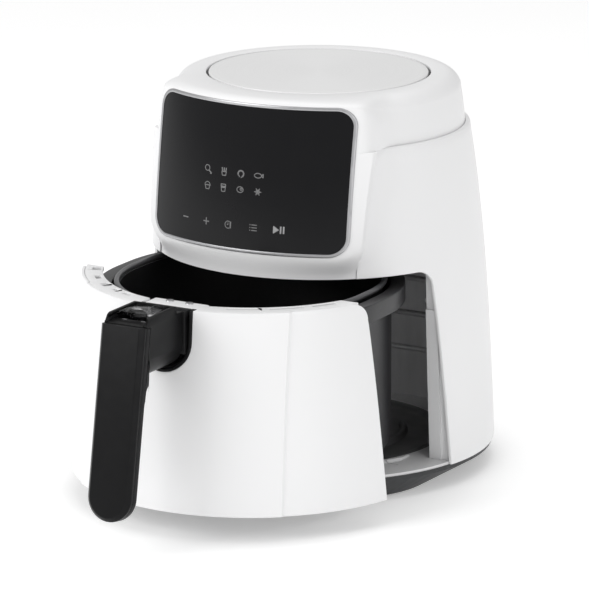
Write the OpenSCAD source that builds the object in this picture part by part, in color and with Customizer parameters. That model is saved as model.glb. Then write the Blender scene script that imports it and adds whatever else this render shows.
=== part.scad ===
// Air fryer with a pull-out drawer and a lift-out basket.
// Origin: on the body's upright axis, in the plane its feet stand on. Front is -Y, up is +Z.

/* [Body] */
// Height to the top of the round disc in the lid
body_h = 295; // [270:1:330]
// Radius the side shell would have at table level
base_r = 134; // [125:0.5:145]
// Radius of the side shell at its upper edge
step_r = 112.4; // [108:0.2:117]
// Straight inward lean of the side shell, per mm of height
side_lean = 0.042; // [0.02:0.002:0.06]
// Height of the cap above the side shell's upper edge
cap_h = 36; // [30:1:42]
// Wall of the plastic shells
shell_t = 2.4; // [1.8:0.1:3]
// Height of the side shell's lower edge above the table
shell_foot_z = 17.6; // [15:0.2:22]

/* [Cap] */
// How far the cap stands inside the side shell's upper edge
cap_step = 3.7; // [2:0.1:5]
// Radius of the cap's shoulder
shoulder_r = 12; // [8:0.5:14]
// Radius of the round disc in the top
disc_r = 81.4; // [70:0.2:84]
// Thickness of the round disc
disc_t = 4; // [3:0.5:6]
// Gap between the disc and the cap, where the dark ring shows
disc_gap = 1.9; // [1.2:0.1:2.5]

/* [Fascia and panel] */
// Half width of the front fascia, to its side seams
seam_x = 82.5; // [78:0.5:86]
// How far the fascia lies inside the line of the side shell
fascia_inset = 1.5; // [0.8:0.1:2]
// Radius of the fascia's roll into the flat top
front_roll_r = 5; // [3:0.5:8]
// Width over the metal trim of the control panel
panel_w = 162.8; // [140:0.2:163]
// Height of the panel's lower edge
panel_z = 184; // [182:1:195]
// Height of the panel, from its lower to its upper edge
panel_h = 107.5; // [90:0.5:108]
// How far behind the body's axis the panel's curve is centred
panel_back = 34; // [0:1:36]
// Radius of the panel's corners
panel_corner = 14; // [8:1:20]
// Width of the metal trim round the panel
trim_w = 2.4; // [1.5:0.1:3.5]
// Thickness of the panel's glass
glass_t = 2; // [1.5:0.1:2.5]
// Half width of the window behind the glass
window_x = 56; // [45:1:60]

/* [Opening and drawer] */
// Height of the opening's top edge
opening_z = 166.5; // [160:0.5:170]
// Y of the opening's rear edge at the foot of the side shell
opening_y = -30.8; // [-36:0.2:-25]
// Forward slant of the opening's rear edge, in degrees
opening_slant = 4; // [2:0.5:6]
// Radius of the opening's upper corner
opening_corner = 13; // [8:0.5:16]
// Gap between the drawer's front and the opening, all round
drawer_gap = 1.2; // [0.8:0.1:2]
// How far the drawer is pulled out as drawn
drawer_out = 98.9; // [60:0.1:140]
// How far the drawer's front stands proud of the side shell
drawer_proud = 1.3; // [0.5:0.1:2]
// Half width between the two creases of the drawer's front
crease_x = 83.5; // [78:0.5:88]
// Wall of the drawer's front
drawer_t = 2.2; // [1.8:0.1:3]
// Thickness of the slotted rim on top of the drawer
rim_t = 3; // [2:0.2:4]
// Half width of the U-shaped socket that the handle stands in
socket_r = 22.5; // [21:0.5:26]

/* [Pan and basket] */
// Half width of the pan over its wall
pan_x = 99; // [92:0.5:100]
// Distance from the drawer's axis to the pan's front wall
pan_front = 83; // [78:0.5:86]
// Corner radius of the pan's wall
pan_corner = 76; // [70:1:78]
// Height of the pan's underside above the table
pan_z = 25; // [24:0.5:30]
// Depth of the pan, from its underside to the top of its flange
pan_depth = 131.7; // [120:0.5:132]
// Sheet of the pan and the basket
sheet_t = 1.2; // [0.8:0.1:1.6]
// Width of the pan's flange
flange_w = 10; // [8:0.5:11]
// Depth of the flange's turned-down lip
lip_h = 13; // [8:0.5:15]
// Clearance between the basket's wall and the pan's
basket_gap = 4.3; // [3:0.1:6]
// Height of the basket's floor above the pan's floor
basket_rise = 7; // [5:0.5:12]
// Radius of the holes in the basket's floor
basket_hole_r = 2.6; // [1.5:0.1:3]

/* [Handle] */
// Width of the handle
handle_w = 35; // [30:0.5:38]
// How far the grip's front stands out from the drawer's top edge
handle_reach = 57; // [50:0.5:65]
// Height of the handle's top rails above the table
arm_top_z = 171; // [169:0.5:174]
// Length of the grip along its lean
grip_len = 138; // [120:1:145]
// Thickness of the grip
grip_t = 13; // [11:0.5:16]
// Outward lean of the grip, in degrees
grip_lean = 10; // [5:0.5:14]
// Side of the square release button
button_w = 19; // [14:0.5:20]
// How far the basket can rise before its latch stops it
basket_play = 3; // [1:0.5:4]

/* [Air and heat] */
// Inner half width of the cavity
cavity_x = 110.5; // [108:0.5:112]
// Radius of the cavity's round floor dish
dish_r = 95.5; // [85:0.5:100]
// Inner radius of the heat reflector
reflector_r = 100; // [90:1:103]
// Height of the heat reflector's roof above its flange
reflector_h = 37; // [34:1:40]
// Radius of the heating element's rod
element_r = 3.3; // [2.5:0.1:4]
// Radius of the hot-air fan
fan_r = 50; // [40:1:56]
// Radius of the motor's shaft
shaft_r = 3; // [2:0.5:4]
// Radial clearance of the shaft in the motor
shaft_gap = 0.05; // [0.02:0.01:0.08]

/* [Hidden] */
$fn = 96;

far = 400;                                  // longer than anything the cuts pass through
fit = 0.3;                                  // gap between plastic parts that go together
step_z = body_h - cap_h;                    // top edge of the side shell
inner_r_cut = 0.2;                          // play of inner parts in the shell
rim_top = opening_z - 1.2;                  // top of the drawer's slotted rim
drawer_foot = shell_foot_z + 0.6;           // lower edge of the drawer's front
flange_top = pan_z + pan_depth;             // top of the pan's flange
pan_back = pan_x;                           // the pan is centred on the closed drawer's axis
basket_x = pan_x - sheet_t - basket_gap;    // outer half width of the basket
basket_front = pan_front - sheet_t - 1.8;
basket_back = basket_x;
basket_corner = pan_corner - 6;
basket_rim_w = 6;
basket_rim_z = flange_top + 0.4;
basket_rim_h = 3.6;
basket_z = pan_z + basket_rise;
ceiling_z = opening_z + 1.3;                // underside of the heat reflector's flange
floor_z = shell_foot_z + 1.9;               // top of the white floor plate
sheet = 0.8;                                // metal of the cavity
roof_z = ceiling_z + reflector_h;
cap_r = step_r - cap_step;

// Radius of the side shell at height z
function shell_r(z) =
    base_r - side_lean * z - (base_r - side_lean * step_z - step_r) * pow(z / step_z, 3);

// Y of the opening's rear edge at height z
function open_y(z) = opening_y - tan(opening_slant) * (z - shell_foot_z);

// Points along the shell's line, from z0 to z1, moved outwards by off
function shell_line(z0, z1, off, n = 10) =
    [for (i = [0:n]) let (z = z0 + (z1 - z0) * i / n) [shell_r(z) + off, z]];

// Radius of the panel's face at height z: a straight lean with a slight crown
panel_low_r = shell_r(panel_z) + 1.6;
panel_lean = 0.119;
panel_crown = 1;
function panel_r(z) =
    let (u = (z - panel_z) / panel_h)
    panel_low_r - panel_lean * (z - panel_z) + 4 * panel_crown * u * (1 - u);

function panel_line(z0, z1, off, n = 6) =
    [for (i = [0:n]) let (z = z0 + (z1 - z0) * i / n) [panel_r(z) + panel_back + off, z]];

// A layer of the panel, from its face moved by out to its face moved by -deep
module panel_layer(out, deep)
    translate([0, panel_back, 0]) rotate_extrude() polygon(concat(
        panel_line(panel_z - 1.5, panel_z + panel_h, out),
        reversed(panel_line(panel_z - 1.5, panel_z + panel_h, -deep))));

// Points of an arc, for rounded outlines
function arc(cx, cy, r, a0, a1, n = 8) =
    [for (i = [0:n]) let (a = a0 + (a1 - a0) * i / n) [cx + r * cos(a), cy + r * sin(a)]];

function reversed(list) = [for (i = [len(list) - 1:-1:0]) list[i]];

module at_drawer() translate([0, -drawer_out, 0]) children();

// A band of the side shell's shape, off its line by out and t thick
module shell_band(z0, z1, out, t, n = 10)
    rotate_extrude() polygon(concat(shell_line(z0, z1, out, n),
        reversed(shell_line(z0, z1, out - t, n))));

// The solid inside the side shell's line, moved outwards by out
module shell_core(z0, z1, out, n = 10)
    rotate_extrude() polygon(concat([[0, z0]], shell_line(z0, z1, out, n), [[0, z1]]));

// A YZ outline carried across the whole width
module across_x(half = far) rotate([90, 0, 90]) linear_extrude(2 * half, center = true) children();

// An XZ outline carried from y0 towards the front
module along_y(y0, len) translate([0, y0, 0]) rotate([90, 0, 0]) linear_extrude(len) children();

module block(x0, x1, y0, y1, z0, z1)
    translate([x0, y0, z0]) cube([x1 - x0, y1 - y0, z1 - z0]);

module both_sides() {
    children();
    mirror([1, 0, 0]) children();
}

module rounded_rect(x0, x1, y0, y1, r) {
    translate([x0 + r, y0]) square([x1 - x0 - 2 * r, y1 - y0]);
    translate([x0, y0 + r]) square([x1 - x0, y1 - y0 - 2 * r]);
    for (x = [x0 + r, x1 - r])
        for (y = [y0 + r, y1 - r])
            translate([x, y]) circle(r);
}

// Side view of the opening in front of its rear edge, shrunk by gap at the rear and the top
module opening_outline(gap, r) {
    top = opening_z - gap;
    slant = opening_slant;
    corner_y = open_y(top - r + r * sin(slant)) - gap - r * cos(slant);
    polygon(concat([[-far, -far], [open_y(-far) - gap, -far]],
        arc(corner_y, top - r, r, slant, 90, 6), [[-far, top]]));
}

// Carries a profile, drawn outwards from the corner's centre, round a rectangle with round corners
module round_sweep(hx, y0, y1, r) {
    cx = hx - r;
    side = y1 - y0 - 2 * r;
    for (q = [[cx, y1 - r, 0], [-cx, y1 - r, 90], [-cx, y0 + r, 180], [cx, y0 + r, 270]])
        translate([q[0], q[1], 0]) rotate([0, 0, q[2]]) rotate_extrude(angle = 90) children();
    both_sides() translate([cx, y1 - r, 0]) rotate([90, 0, 0]) linear_extrude(side) children();
    translate([-cx, y1 - r, 0]) rotate([90, 0, 90]) linear_extrude(2 * cx) children();
    translate([0, y0 + r, 0]) mirror([0, 1, 0]) translate([-cx, 0, 0])
        rotate([90, 0, 90]) linear_extrude(2 * cx) children();
}

// ---- Body ----

outlet_x = 38;
outlet_z0 = 196;
outlet_z1 = 236;
inlet_x = 42;
inlet_z = 44;
inlet_r = 7;

module side_shell() color("white")
    difference() {
        rotate_extrude() polygon(concat(
            shell_line(shell_foot_z, step_z - 1.2, 0, 12), [[step_r - 1.2, step_z]],
            [[cap_r + fit, step_z], [cap_r + fit, step_z - shell_t]],
            reversed(shell_line(shell_foot_z, step_z - shell_t, -shell_t, 12))));
        across_x() opening_outline(0, opening_corner);
        block(-seam_x, seam_x, -far, 0, opening_z - 20, far);
        block(-outlet_x - fit, outlet_x + fit, 0, far, outlet_z0 - fit, outlet_z1 + fit);
        translate([inlet_x, 0, inlet_z]) rotate([-90, 0, 0]) cylinder(h = far, r = inlet_r);
    }

cap_turn_z = body_h - shoulder_r;
cap_turn_r = cap_r - 2.8;
cap_flat_r = cap_turn_r - shoulder_r;       // where the cap's shoulder meets its flat top
disc_seat_r = disc_r + disc_gap;

module cap_ring()
    rotate_extrude() polygon(concat(
        [[cap_r, step_z - 6], [cap_r, step_z], [cap_r - 1.2, step_z + 8]],
        arc(cap_flat_r, cap_turn_z, shoulder_r, 0, 90),
        [[disc_seat_r, body_h], [disc_seat_r, body_h - disc_t], [disc_r - 6, body_h - disc_t],
            [disc_r - 6, body_h - disc_t - shell_t]],
        reversed(arc(cap_flat_r, cap_turn_z, shoulder_r - shell_t, 0, 60)),
        [[cap_r - shell_t, step_z - 6]]));

fascia_top_r = panel_r(panel_z + panel_h) - glass_t - 0.6;

// Points of the roll from the fascia into the flat top
function front_roll(r) = arc(fascia_top_r - front_roll_r, body_h - front_roll_r, r, 0, 90, 6);

module fascia()
    intersection() {
        rotate_extrude() polygon(concat(
            shell_line(opening_z, step_z, -fascia_inset, 5),
            front_roll(front_roll_r),
            [[cap_flat_r - 2, body_h], [cap_flat_r - 2, body_h - shell_t]],
            reversed(front_roll(front_roll_r - shell_t)),
            reversed(shell_line(opening_z, step_z, -fascia_inset - shell_t, 5))));
        block(-seam_x + fit, seam_x - fit, -far, 0, 0, far);
    }

module panel_outline(grow)
    rounded_rect(-panel_w / 2 - grow, panel_w / 2 + grow, panel_z - grow,
        panel_z + panel_h + grow, panel_corner + grow);

bed_wall = 3;
bed_depth = 17;

// The raised bed that the panel's glass and trim sit on, with side walls back to the fascia
module panel_bed()
    intersection() {
        union() {
            intersection() {
                panel_layer(-glass_t - 0.1, glass_t + shell_t);
                along_y(-40, far) panel_outline(1.5);
            }
            intersection() {
                panel_layer(-glass_t - 0.1, bed_depth);
                along_y(-40, far)
                    difference() {
                        panel_outline(1.5);
                        panel_outline(1.5 - bed_wall);
                    }
            }
        }
        block(-seam_x + fit, seam_x - fit, -far, 0, 0, far);
    }

module top_housing() color("white")
    difference() {
        union() {
            cap_ring();
            fascia();
            panel_bed();
        }
        along_y(-40, far) rounded_rect(-window_x, window_x, panel_z + 25, panel_z + panel_h - 14, 4);
        translate([0, 0, body_h]) cylinder(h = 20, r = disc_seat_r);
    }

module disc_ring() color("dimgray")
    rotate_extrude() translate([disc_r + fit, body_h - disc_t])
        square([disc_gap - 2 * fit, disc_t - 1.4]);

module top_disc() color("gainsboro")
    rotate_extrude() polygon([[0, body_h - 1.8], [disc_r - 3, body_h - 1.8],
        [disc_r - 3, body_h - disc_t], [disc_r, body_h - disc_t], [disc_r, body_h - 0.5],
        [disc_r - 0.5, body_h], [0, body_h]]);

module panel_trim() color("silver")
    intersection() {
        panel_layer(0.3, glass_t);
        along_y(-40, far)
            difference() {
                panel_outline(0);
                panel_outline(-trim_w);
            }
    }

module control_panel() color([0.08, 0.08, 0.09])
    intersection() {
        panel_layer(0, glass_t);
        along_y(-40, far) panel_outline(-trim_w - 0.05);
    }

board_y = -79;
board_t = 1.6;

module light_guide() color("whitesmoke")
    intersection() {
        translate([0, panel_back, 0]) rotate_extrude() polygon(concat([[0, panel_z + 20]],
            panel_line(panel_z + 20, panel_z + panel_h - 10, -glass_t - 0.1), [[0, panel_z + panel_h - 10]]));
        difference() {
            block(-window_x + 2, window_x - 2, -far, board_y - board_t - 0.1,
                panel_z + 27, panel_z + panel_h - 16);
            for (x = [-42:14:42])
                block(x - 6, x + 6, -far, board_y, panel_z + 29, panel_z + panel_h - 18);
        }
    }

module display_board() color("seagreen") {
    block(-60, 60, board_y - board_t, board_y, panel_z + 22, panel_z + panel_h - 10);
    for (x = [-42, 0, 42])
        block(x - 5, x + 5, board_y, board_y + 2, panel_z + 60, panel_z + 70);
}

module display_bracket() color("dimgray")
    difference() {
        block(-64, 64, board_y + 2.2, board_y + 4.2, panel_z + 22, panel_z + panel_h - 10);
        block(-50, 50, board_y, board_y + 6, panel_z + 30, panel_z + panel_h - 18);
    }

// ---- Base and cavity ----

base_z = 2;
foot_x = 109.4;
base_corner = 70;
base_top = floor_z - 2;
base_rim_r = shell_r(base_top) - 1.6;
screw_x = 72;
screw_y = 68;

// The base: round at the rim, a rounded square where it nears the table
module base_form(inset, z0, z1)
    hull() {
        translate([0, 0, z1 - 3]) cylinder(h = 3, r = base_rim_r - inset, $fn = 72);
        for (x = [-1, 1])
            for (y = [-1, 1])
                translate([x * (foot_x - base_corner), y * (foot_x - base_corner), z0])
                    cylinder(h = 1, r = base_corner - inset, $fn = 72);
    }

module base_tray() color("#323336")
    difference() {
        union() {
            difference() {
                base_form(0, base_z, base_top);
                base_form(2.4, base_z + 2.4, base_top + 3.1);
            }
            for (x = [-screw_x, screw_x])
                for (y = [-screw_y, screw_y])
                    translate([x, y, base_z]) cylinder(h = base_top - base_z, r = 6.5);
        }
        for (x = [-screw_x, screw_x])
            for (y = [-screw_y, screw_y])
                translate([x, y, 0]) {
                    cylinder(h = 7, r = 4.3);
                    cylinder(h = 30, r = 2.1);
                }
        feet_places() cylinder(h = 4, r = 10.1);
    }

module feet_places()
    for (x = [-88, 88])
        for (y = [-44, 44])
            translate([x, y, 0]) children();

module feet() color("black")
    feet_places() cylinder(h = 3.8, r = 10);

module base_screws() color("silver")
    for (x = [-screw_x, screw_x])
        for (y = [-screw_y, screw_y])
            translate([x, y, 0]) {
                translate([0, 0, 4.8]) cylinder(h = 2.2, r = 3.9);
                translate([0, 0, 7]) cylinder(h = floor_z - 7.4, r = 1.9);
            }

module floor_plate() color("whitesmoke")
    difference() {
        union() {
            intersection() {
                translate([0, 0, base_top]) cylinder(h = floor_z - base_top, r = far);
                union() {
                    shell_core(base_top, floor_z, -shell_t - inner_r_cut, 1);
                    // in front it reaches nearly to the closed drawer's front
                    intersection() {
                        shell_core(base_top, floor_z, drawer_proud - drawer_t - 0.6, 1);
                        block(-crease_x + 1, crease_x - 1, -far, opening_y - 1, 0, far);
                    }
                }
            }
            // raised ridge in front of the round dish
            intersection() {
                rotate_extrude() polygon([[dish_r + 4, floor_z - 0.5], [dish_r + 5.5, floor_z + 1.8],
                    [dish_r + 8, floor_z + 1.8], [dish_r + 10, floor_z - 0.5]]);
                block(-95, 95, -far, -20, 0, far);
            }
        }
        translate([0, 0, -1]) cylinder(h = far, r = dish_r + fit);
        for (x = [-screw_x, screw_x])
            for (y = [-screw_y, screw_y])
                translate([x, y, 0]) cylinder(h = floor_z - 0.3, r = 1.95);
        both_sides() block(60, 98, -56, -54.6, floor_z - 0.8, far);
    }

frame_back = 5;                             // the frame's rear face, behind the opening's edge

module behind_opening(back)
    difference() {
        children();
        translate([0, back, 0]) across_x() opening_outline(0, 0.5);
    }

module front_frame() color("gainsboro")
    intersection() {
        shell_core(floor_z + 0.1, ceiling_z - 0.2, -shell_t - inner_r_cut);
        difference() {
            union() {
                // recessed outer strip
                behind_opening(3) block(-far, far, -90, -10, floor_z + 0.1, ceiling_z - 0.2);
                // inner strip, a step further forward below the corner brackets
                both_sides()
                    behind_opening(1.4) block(cavity_x, cavity_x + 9.5, -60, -10, floor_z + 0.1, 135);
            }
            block(-cavity_x, cavity_x, -far, far, 0, far);
            translate([0, frame_back, 0])
                difference() {
                    block(-far, far, -30 - far, far, 0, far);
                    across_x() polygon([[-far, -far], [open_y(-far), -far], [open_y(far), far], [-far, far]]);
                }
        }
    }

liner_corner = 88;
bead_zs = [58, 86, 114, 141];

module liner_outline(grow)
    rounded_rect(-cavity_x - grow, cavity_x + grow, -cavity_x, cavity_x + grow, liner_corner + grow);

module cavity_liner() color("gray")
    difference() {
        union() {
            translate([0, 0, floor_z])
                linear_extrude(ceiling_z - floor_z)
                    difference() {
                        liner_outline(sheet);
                        liner_outline(0);
                    }
            // pressed beads; the pan's lip slides on the upper pair
            for (z = bead_zs)
                both_sides() translate([cavity_x + 0.3, -60, z]) rotate([-90, 0, 0])
                    cylinder(h = 80, r = 2.2, $fn = 32);
        }
        translate([0, frame_back + 0.2, 0])
            across_x() polygon([[-far, -far], [open_y(-far), -far], [open_y(far), far], [-far, far]]);
        difference() {
            block(-far, far, -far, far, -1, far);
            linear_extrude(far) rounded_rect(-cavity_x - sheet, cavity_x + sheet, -far, cavity_x + sheet,
                liner_corner + sheet);
        }
        translate([0, 100, flange_top - 6]) rotate([-90, 0, 0]) cylinder(h = 40, r = 2.6);
    }

module floor_dish() color("dimgray")
    rotate_extrude() polygon([[0, floor_z - 1.4], [dish_r - 8, floor_z - 1.4], [dish_r - 5, floor_z - 0.4],
        [dish_r, floor_z - 0.4], [dish_r, floor_z - 1.4], [dish_r - 4.6, floor_z - 1.4],
        [dish_r - 7.6, floor_z - 2.4], [0, floor_z - 2.4]]);

module air_guide() color("dimgray")
    both_sides()
        intersection() {
            rotate_extrude() translate([62, floor_z - 1.4])
                polygon([[0, 0], [1.5, 3.6], [3, 4.2], [4.5, 3.6], [6, 0]]);
            block(10, far, -far, 40, 0, far);
        }

// ---- Heat and air ----

terminal_y = 12;
element_z = ceiling_z + 13;
coils = [50, 72];

reflector_edge_r = shell_r(ceiling_z) - 6;  // outer edge of the reflector's flange

module heat_reflector() color("silver")
    difference() {
        rotate_extrude() polygon([[reflector_edge_r, ceiling_z], [reflector_edge_r, ceiling_z + 1],
            [reflector_r + 1, ceiling_z + 1], [reflector_r + 1, roof_z + sheet], [0, roof_z + sheet],
            [0, roof_z], [reflector_r, roof_z], [reflector_r, ceiling_z]]);
        cylinder(h = far, r = 8);
        for (y = [-terminal_y, terminal_y])
            translate([coils[1], y, 0]) cylinder(h = far, r = element_r + 0.5);
        translate([-70, 0, 0]) cylinder(h = far, r = 2.3);
    }

module heating_element() color("#4b4b4b") {
    for (r = coils)
        difference() {
            rotate_extrude() translate([r, element_z]) circle(element_r, $fn = 32);
            block(0, far, -terminal_y, terminal_y, 0, far);
        }
    for (y = [-terminal_y, terminal_y]) {
        translate([coils[1], y, element_z - element_r])
            cylinder(h = roof_z + 14 - element_z, r = element_r, $fn = 32);
        translate([coils[0], y, element_z]) rotate([0, 90, 0])
            cylinder(h = coils[1] - coils[0], r = element_r, $fn = 32);
    }
}

module element_guard() color("silver") {
    for (r = [24, 44, 64, 84, reflector_r - 1.4])
        rotate_extrude() translate([r, ceiling_z + 3]) circle(1, $fn = 24);
    // spokes, welded under the rings
    for (a = [10:45:325])
        rotate([0, 0, a]) translate([23.4, 0, ceiling_z + 1.5]) rotate([0, 90, 0])
            cylinder(h = reflector_r - 25, r = 1, $fn = 24);
}

duct_r = 58;
duct_z = roof_z + sheet + 0.3;
duct_h = 20;
duct_top = duct_z + duct_h;
chute_end = sqrt(pow(shell_r(duct_top) - shell_t, 2) - pow(outlet_x, 2)) - 1;
post_xy = 52;
bracket_z = duct_top + 3;
motor_z = bracket_z + 1.6;
motor_h = 26;
tray_z = motor_z + motor_h + 4;

module cooling_duct() color("whitesmoke")
    difference() {
        union() {
            translate([0, 0, duct_z]) cylinder(h = duct_h, r = duct_r);
            block(-outlet_x + 3, outlet_x - 3, 0, chute_end, duct_z, duct_top);
        }
        translate([0, 0, duct_z + 1.6]) cylinder(h = duct_h - 3.2, r = duct_r - 1.6);
        block(-outlet_x + 4.6, outlet_x - 4.6, 0, far, duct_z + 1.6, duct_top - 1.6);
        cylinder(h = duct_z + 5, r = 8);
        cylinder(h = far, r = 34);
    }

module motor_posts(z0, z1, r)
    for (x = [-post_xy, post_xy])
        for (y = [-post_xy, post_xy])
            translate([x, y, z0]) cylinder(h = z1 - z0, r = r, $fn = 48);

module motor_bracket() color("silver")
    difference() {
        union() {
            motor_posts(roof_z + sheet, bracket_z, 4);
            translate([0, 0, bracket_z])
                linear_extrude(1.6) rounded_rect(-post_xy - 6, post_xy + 6, -post_xy - 6, post_xy + 6, 6);
        }
        translate([0, 0, bracket_z - 1]) cylinder(h = 10, r = 8);
        for (a = [0:90:270])
            rotate([0, 0, a]) translate([44, 0, bracket_z - 1]) cylinder(h = 10, r = 10);
    }

module motor() color("#8a8d90")
    difference() {
        union() {
            translate([0, 0, motor_z]) cylinder(h = 5, r = 30);
            translate([0, 0, motor_z + 5]) cylinder(h = motor_h - 9, r = 27);
            translate([0, 0, motor_z + motor_h - 4]) cylinder(h = 4, r = 12);
        }
        cylinder(h = far, r = shaft_r + shaft_gap);
    }

module motor_shaft() color("silver")
    translate([0, 0, ceiling_z + 17]) cylinder(h = motor_z + motor_h + 2 - ceiling_z - 17, r = shaft_r);

module bladed_fan(z, h, r, blades)
    difference() {
        union() {
            translate([0, 0, z]) cylinder(h = h, r = 11);
            translate([0, 0, z + h - 1.2]) cylinder(h = 1.2, r = r);
            for (i = [0:blades - 1])
                rotate([0, 0, i * 360 / blades]) translate([8, -0.6, z]) rotate([0, 0, 20])
                    cube([r - 12, 1.2, h]);
        }
        cylinder(h = far, r = shaft_r);
    }

module hot_air_fan() color("silver")
    bladed_fan(roof_z - 16, 12, fan_r, 10);

module cooling_fan() color("black")
    bladed_fan(duct_z + 4, 12, 33.5 + 14, 8);

module thermal_cutout() color("tan")
    translate([-74, 34, roof_z + sheet]) {
        cylinder(h = 6, r = 8);
        translate([-9, -2, 6]) cube([18, 4, 3]);
    }

module temperature_probe() color("silver")
    translate([-70, 0, 0]) {
        translate([0, 0, roof_z - 14]) cylinder(h = 14 + sheet, r = 2);
        translate([0, 0, roof_z + sheet]) cylinder(h = 4, r = 5);
    }

module board_tray() color("whitesmoke") {
    motor_posts(motor_z, tray_z, 3.5);
    translate([0, 0, tray_z]) linear_extrude(1.8) rounded_rect(-62, 62, -58, 58, 6);
    motor_posts(tray_z + 1.8, tray_z + 5, 2.5);
}

module power_board() color("seagreen")
    translate([0, 0, tray_z + 5]) {
        translate([-58, -55, 0]) cube([116, 110, 1.6]);
        translate([-46, -30, 1.6]) cube([30, 26, 12]);
        translate([-10, 10, 1.6]) cube([20, 16, 11]);
        translate([30, -20, 1.6]) cylinder(h = 12, r = 8);
        translate([34, 14, 1.6]) cylinder(h = 10, r = 6);
    }

module rear_outlet() color("#3a3b3d")
    intersection() {
        shell_band(outlet_z0, outlet_z1, 0, shell_t, 4);
        difference() {
            block(-outlet_x, outlet_x, 0, far, outlet_z0, outlet_z1);
            for (z = [outlet_z0 + 4:5.5:outlet_z1 - 6])
                block(-outlet_x + 4, outlet_x - 4, 0, far, z, z + 3);
        }
    }

function inlet_y(r, x) = sqrt(pow(shell_r(inlet_z + r) - shell_t, 2) - pow(x, 2));
flange_y = inlet_y(inlet_r + 2, inlet_x + inlet_r + 2) - fit;
bush_len = 14;

module cord_inlet() color("black")
    difference() {
        translate([inlet_x, flange_y - 2.4, inlet_z]) rotate([-90, 0, 0]) {
            cylinder(h = bush_len, r = inlet_r - 0.1);
            cylinder(h = 2.4, r = inlet_r + 2);
        }
        translate([inlet_x, 0, inlet_z]) rotate([-90, 0, 0]) cylinder(h = far, r = 3.6);
    }

module drawer_switch() color("black")
    difference() {
        block(-9, 9, cavity_x + sheet + 0.3, cavity_x + sheet + 7, flange_top - 11, flange_top - 1);
        translate([0, 0, flange_top - 6]) rotate([-90, 0, 0]) cylinder(h = cavity_x + sheet + 5, r = 2.15);
    }

module switch_plunger() color("red")
    translate([0, pan_back + flange_w + 0.5, flange_top - 6]) rotate([-90, 0, 0]) cylinder(h = 3.4, r = 2.05);

// ---- Drawer ----

socket_z = 119.6 + socket_r;
socket_back = pan_front + flange_w + 1;

// Front view of the U-shaped socket, grown outwards
module u_outline(grow) {
    translate([0, socket_z]) circle(socket_r + grow);
    translate([-socket_r - grow, socket_z]) square([2 * (socket_r + grow), far]);
}

boss_spots = [for (x = [-12, 12]) for (z = [56, 98]) [x, z]];
boss_face = shell_r(98) + drawer_proud - drawer_t - 7;

module drawer_front() color("white")
    at_drawer()
        difference() {
            union() {
                intersection() {
                    shell_band(drawer_foot, opening_z - drawer_gap, drawer_proud, drawer_t, 8);
                    block(-crease_x, crease_x, -far, 0, 0, far);
                }
                both_sides() intersection() {
                    shell_band(drawer_foot, opening_z - drawer_gap, 0, drawer_t, 8);
                    block(crease_x, far, -far, 0, 0, far);
                }
                intersection() {
                    shell_core(drawer_foot, opening_z - drawer_gap, drawer_proud - 0.8, 8);
                    for (s = boss_spots)
                        translate([s[0], 0, s[1]]) along_y(-boss_face, far) circle(4.5);
                }
            }
            difference() {
                block(-far, far, -far, far, 0, far);
                across_x() opening_outline(drawer_gap, opening_corner - 1);
            }
            along_y(0, far) u_outline(0.1);
            for (s = boss_spots)
                translate([s[0], 0, s[1]]) along_y(-boss_face + 1, 8) circle(1.75);
        }

// Arc-shaped slot through the rim, from angle a0 to a1 off the front
module rim_slot(r, a0, a1, w)
    rotate([0, 0, a0 - 90]) rotate_extrude(angle = a1 - a0) translate([r - w / 2, 0]) square([w, far]);

rim_edge_r = shell_r(rim_top) + drawer_proud - drawer_t - 0.2;
rim_end_y = -46;
slot_r = basket_x + basket_rim_w + 12;

// Keeps a child between the drawer's creases
module front_zone() intersection() {
    children();
    block(-crease_x + 0.2, crease_x - 0.2, -far, 0, 0, far);
}

module drawer_rim() color("white")
    at_drawer()
        difference() {
            union() {
                difference() {
                    translate([0, 0, rim_top - rim_t]) {
                        cylinder(h = rim_t, r = rim_edge_r - drawer_proud);
                        front_zone() cylinder(h = rim_t, r = rim_edge_r);
                    }
                    translate([0, 0, basket_rim_z - 1]) linear_extrude(20)
                        rounded_rect(-basket_x - basket_rim_w - 0.7, basket_x + basket_rim_w + 0.7,
                            -basket_front - basket_rim_w - 0.7, basket_back + 40, basket_corner + 6.7);
                }
                // skirt that the drawer's front is fixed to
                rotate_extrude() translate([rim_edge_r - drawer_proud - 2, rim_top - 12]) square([2, 12]);
            }
            block(-far, far, rim_end_y, far, 0, far);
            along_y(0, far) u_outline(0.1);
            both_sides() {
                for (a = [[20.6, 32.9], [35.9, 48.5], [51.6, 61]])
                    rim_slot(slot_r, a[0], a[1], 3);
            }
        }

module pan_profile() {
    r = pan_corner;
    polygon(concat([[0, pan_z]], arc(r - 20, pan_z + 20, 20, -90, 0, 6),
        [[r, flange_top - sheet_t], [r + flange_w - sheet_t, flange_top - sheet_t],
            [r + flange_w - sheet_t, flange_top - lip_h], [r + flange_w, flange_top - lip_h],
            [r + flange_w, flange_top], [r - sheet_t, flange_top]],
        reversed(arc(r - 20, pan_z + 20, 20 - sheet_t, -90, 0, 6)), [[0, pan_z + sheet_t]]));
}

module pan() color("#2c2c2e")
    at_drawer() {
        round_sweep(pan_x, -pan_front, pan_back, pan_corner) pan_profile();
        block(-pan_x + pan_corner, pan_x - pan_corner, -pan_front + pan_corner, pan_back - pan_corner,
            pan_z, pan_z + sheet_t);
    }

catch_y = -118;
nose_z = socket_z - socket_r + 5.5;         // top of the latch's nose
catch_z = nose_z + basket_play + fit;

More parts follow.
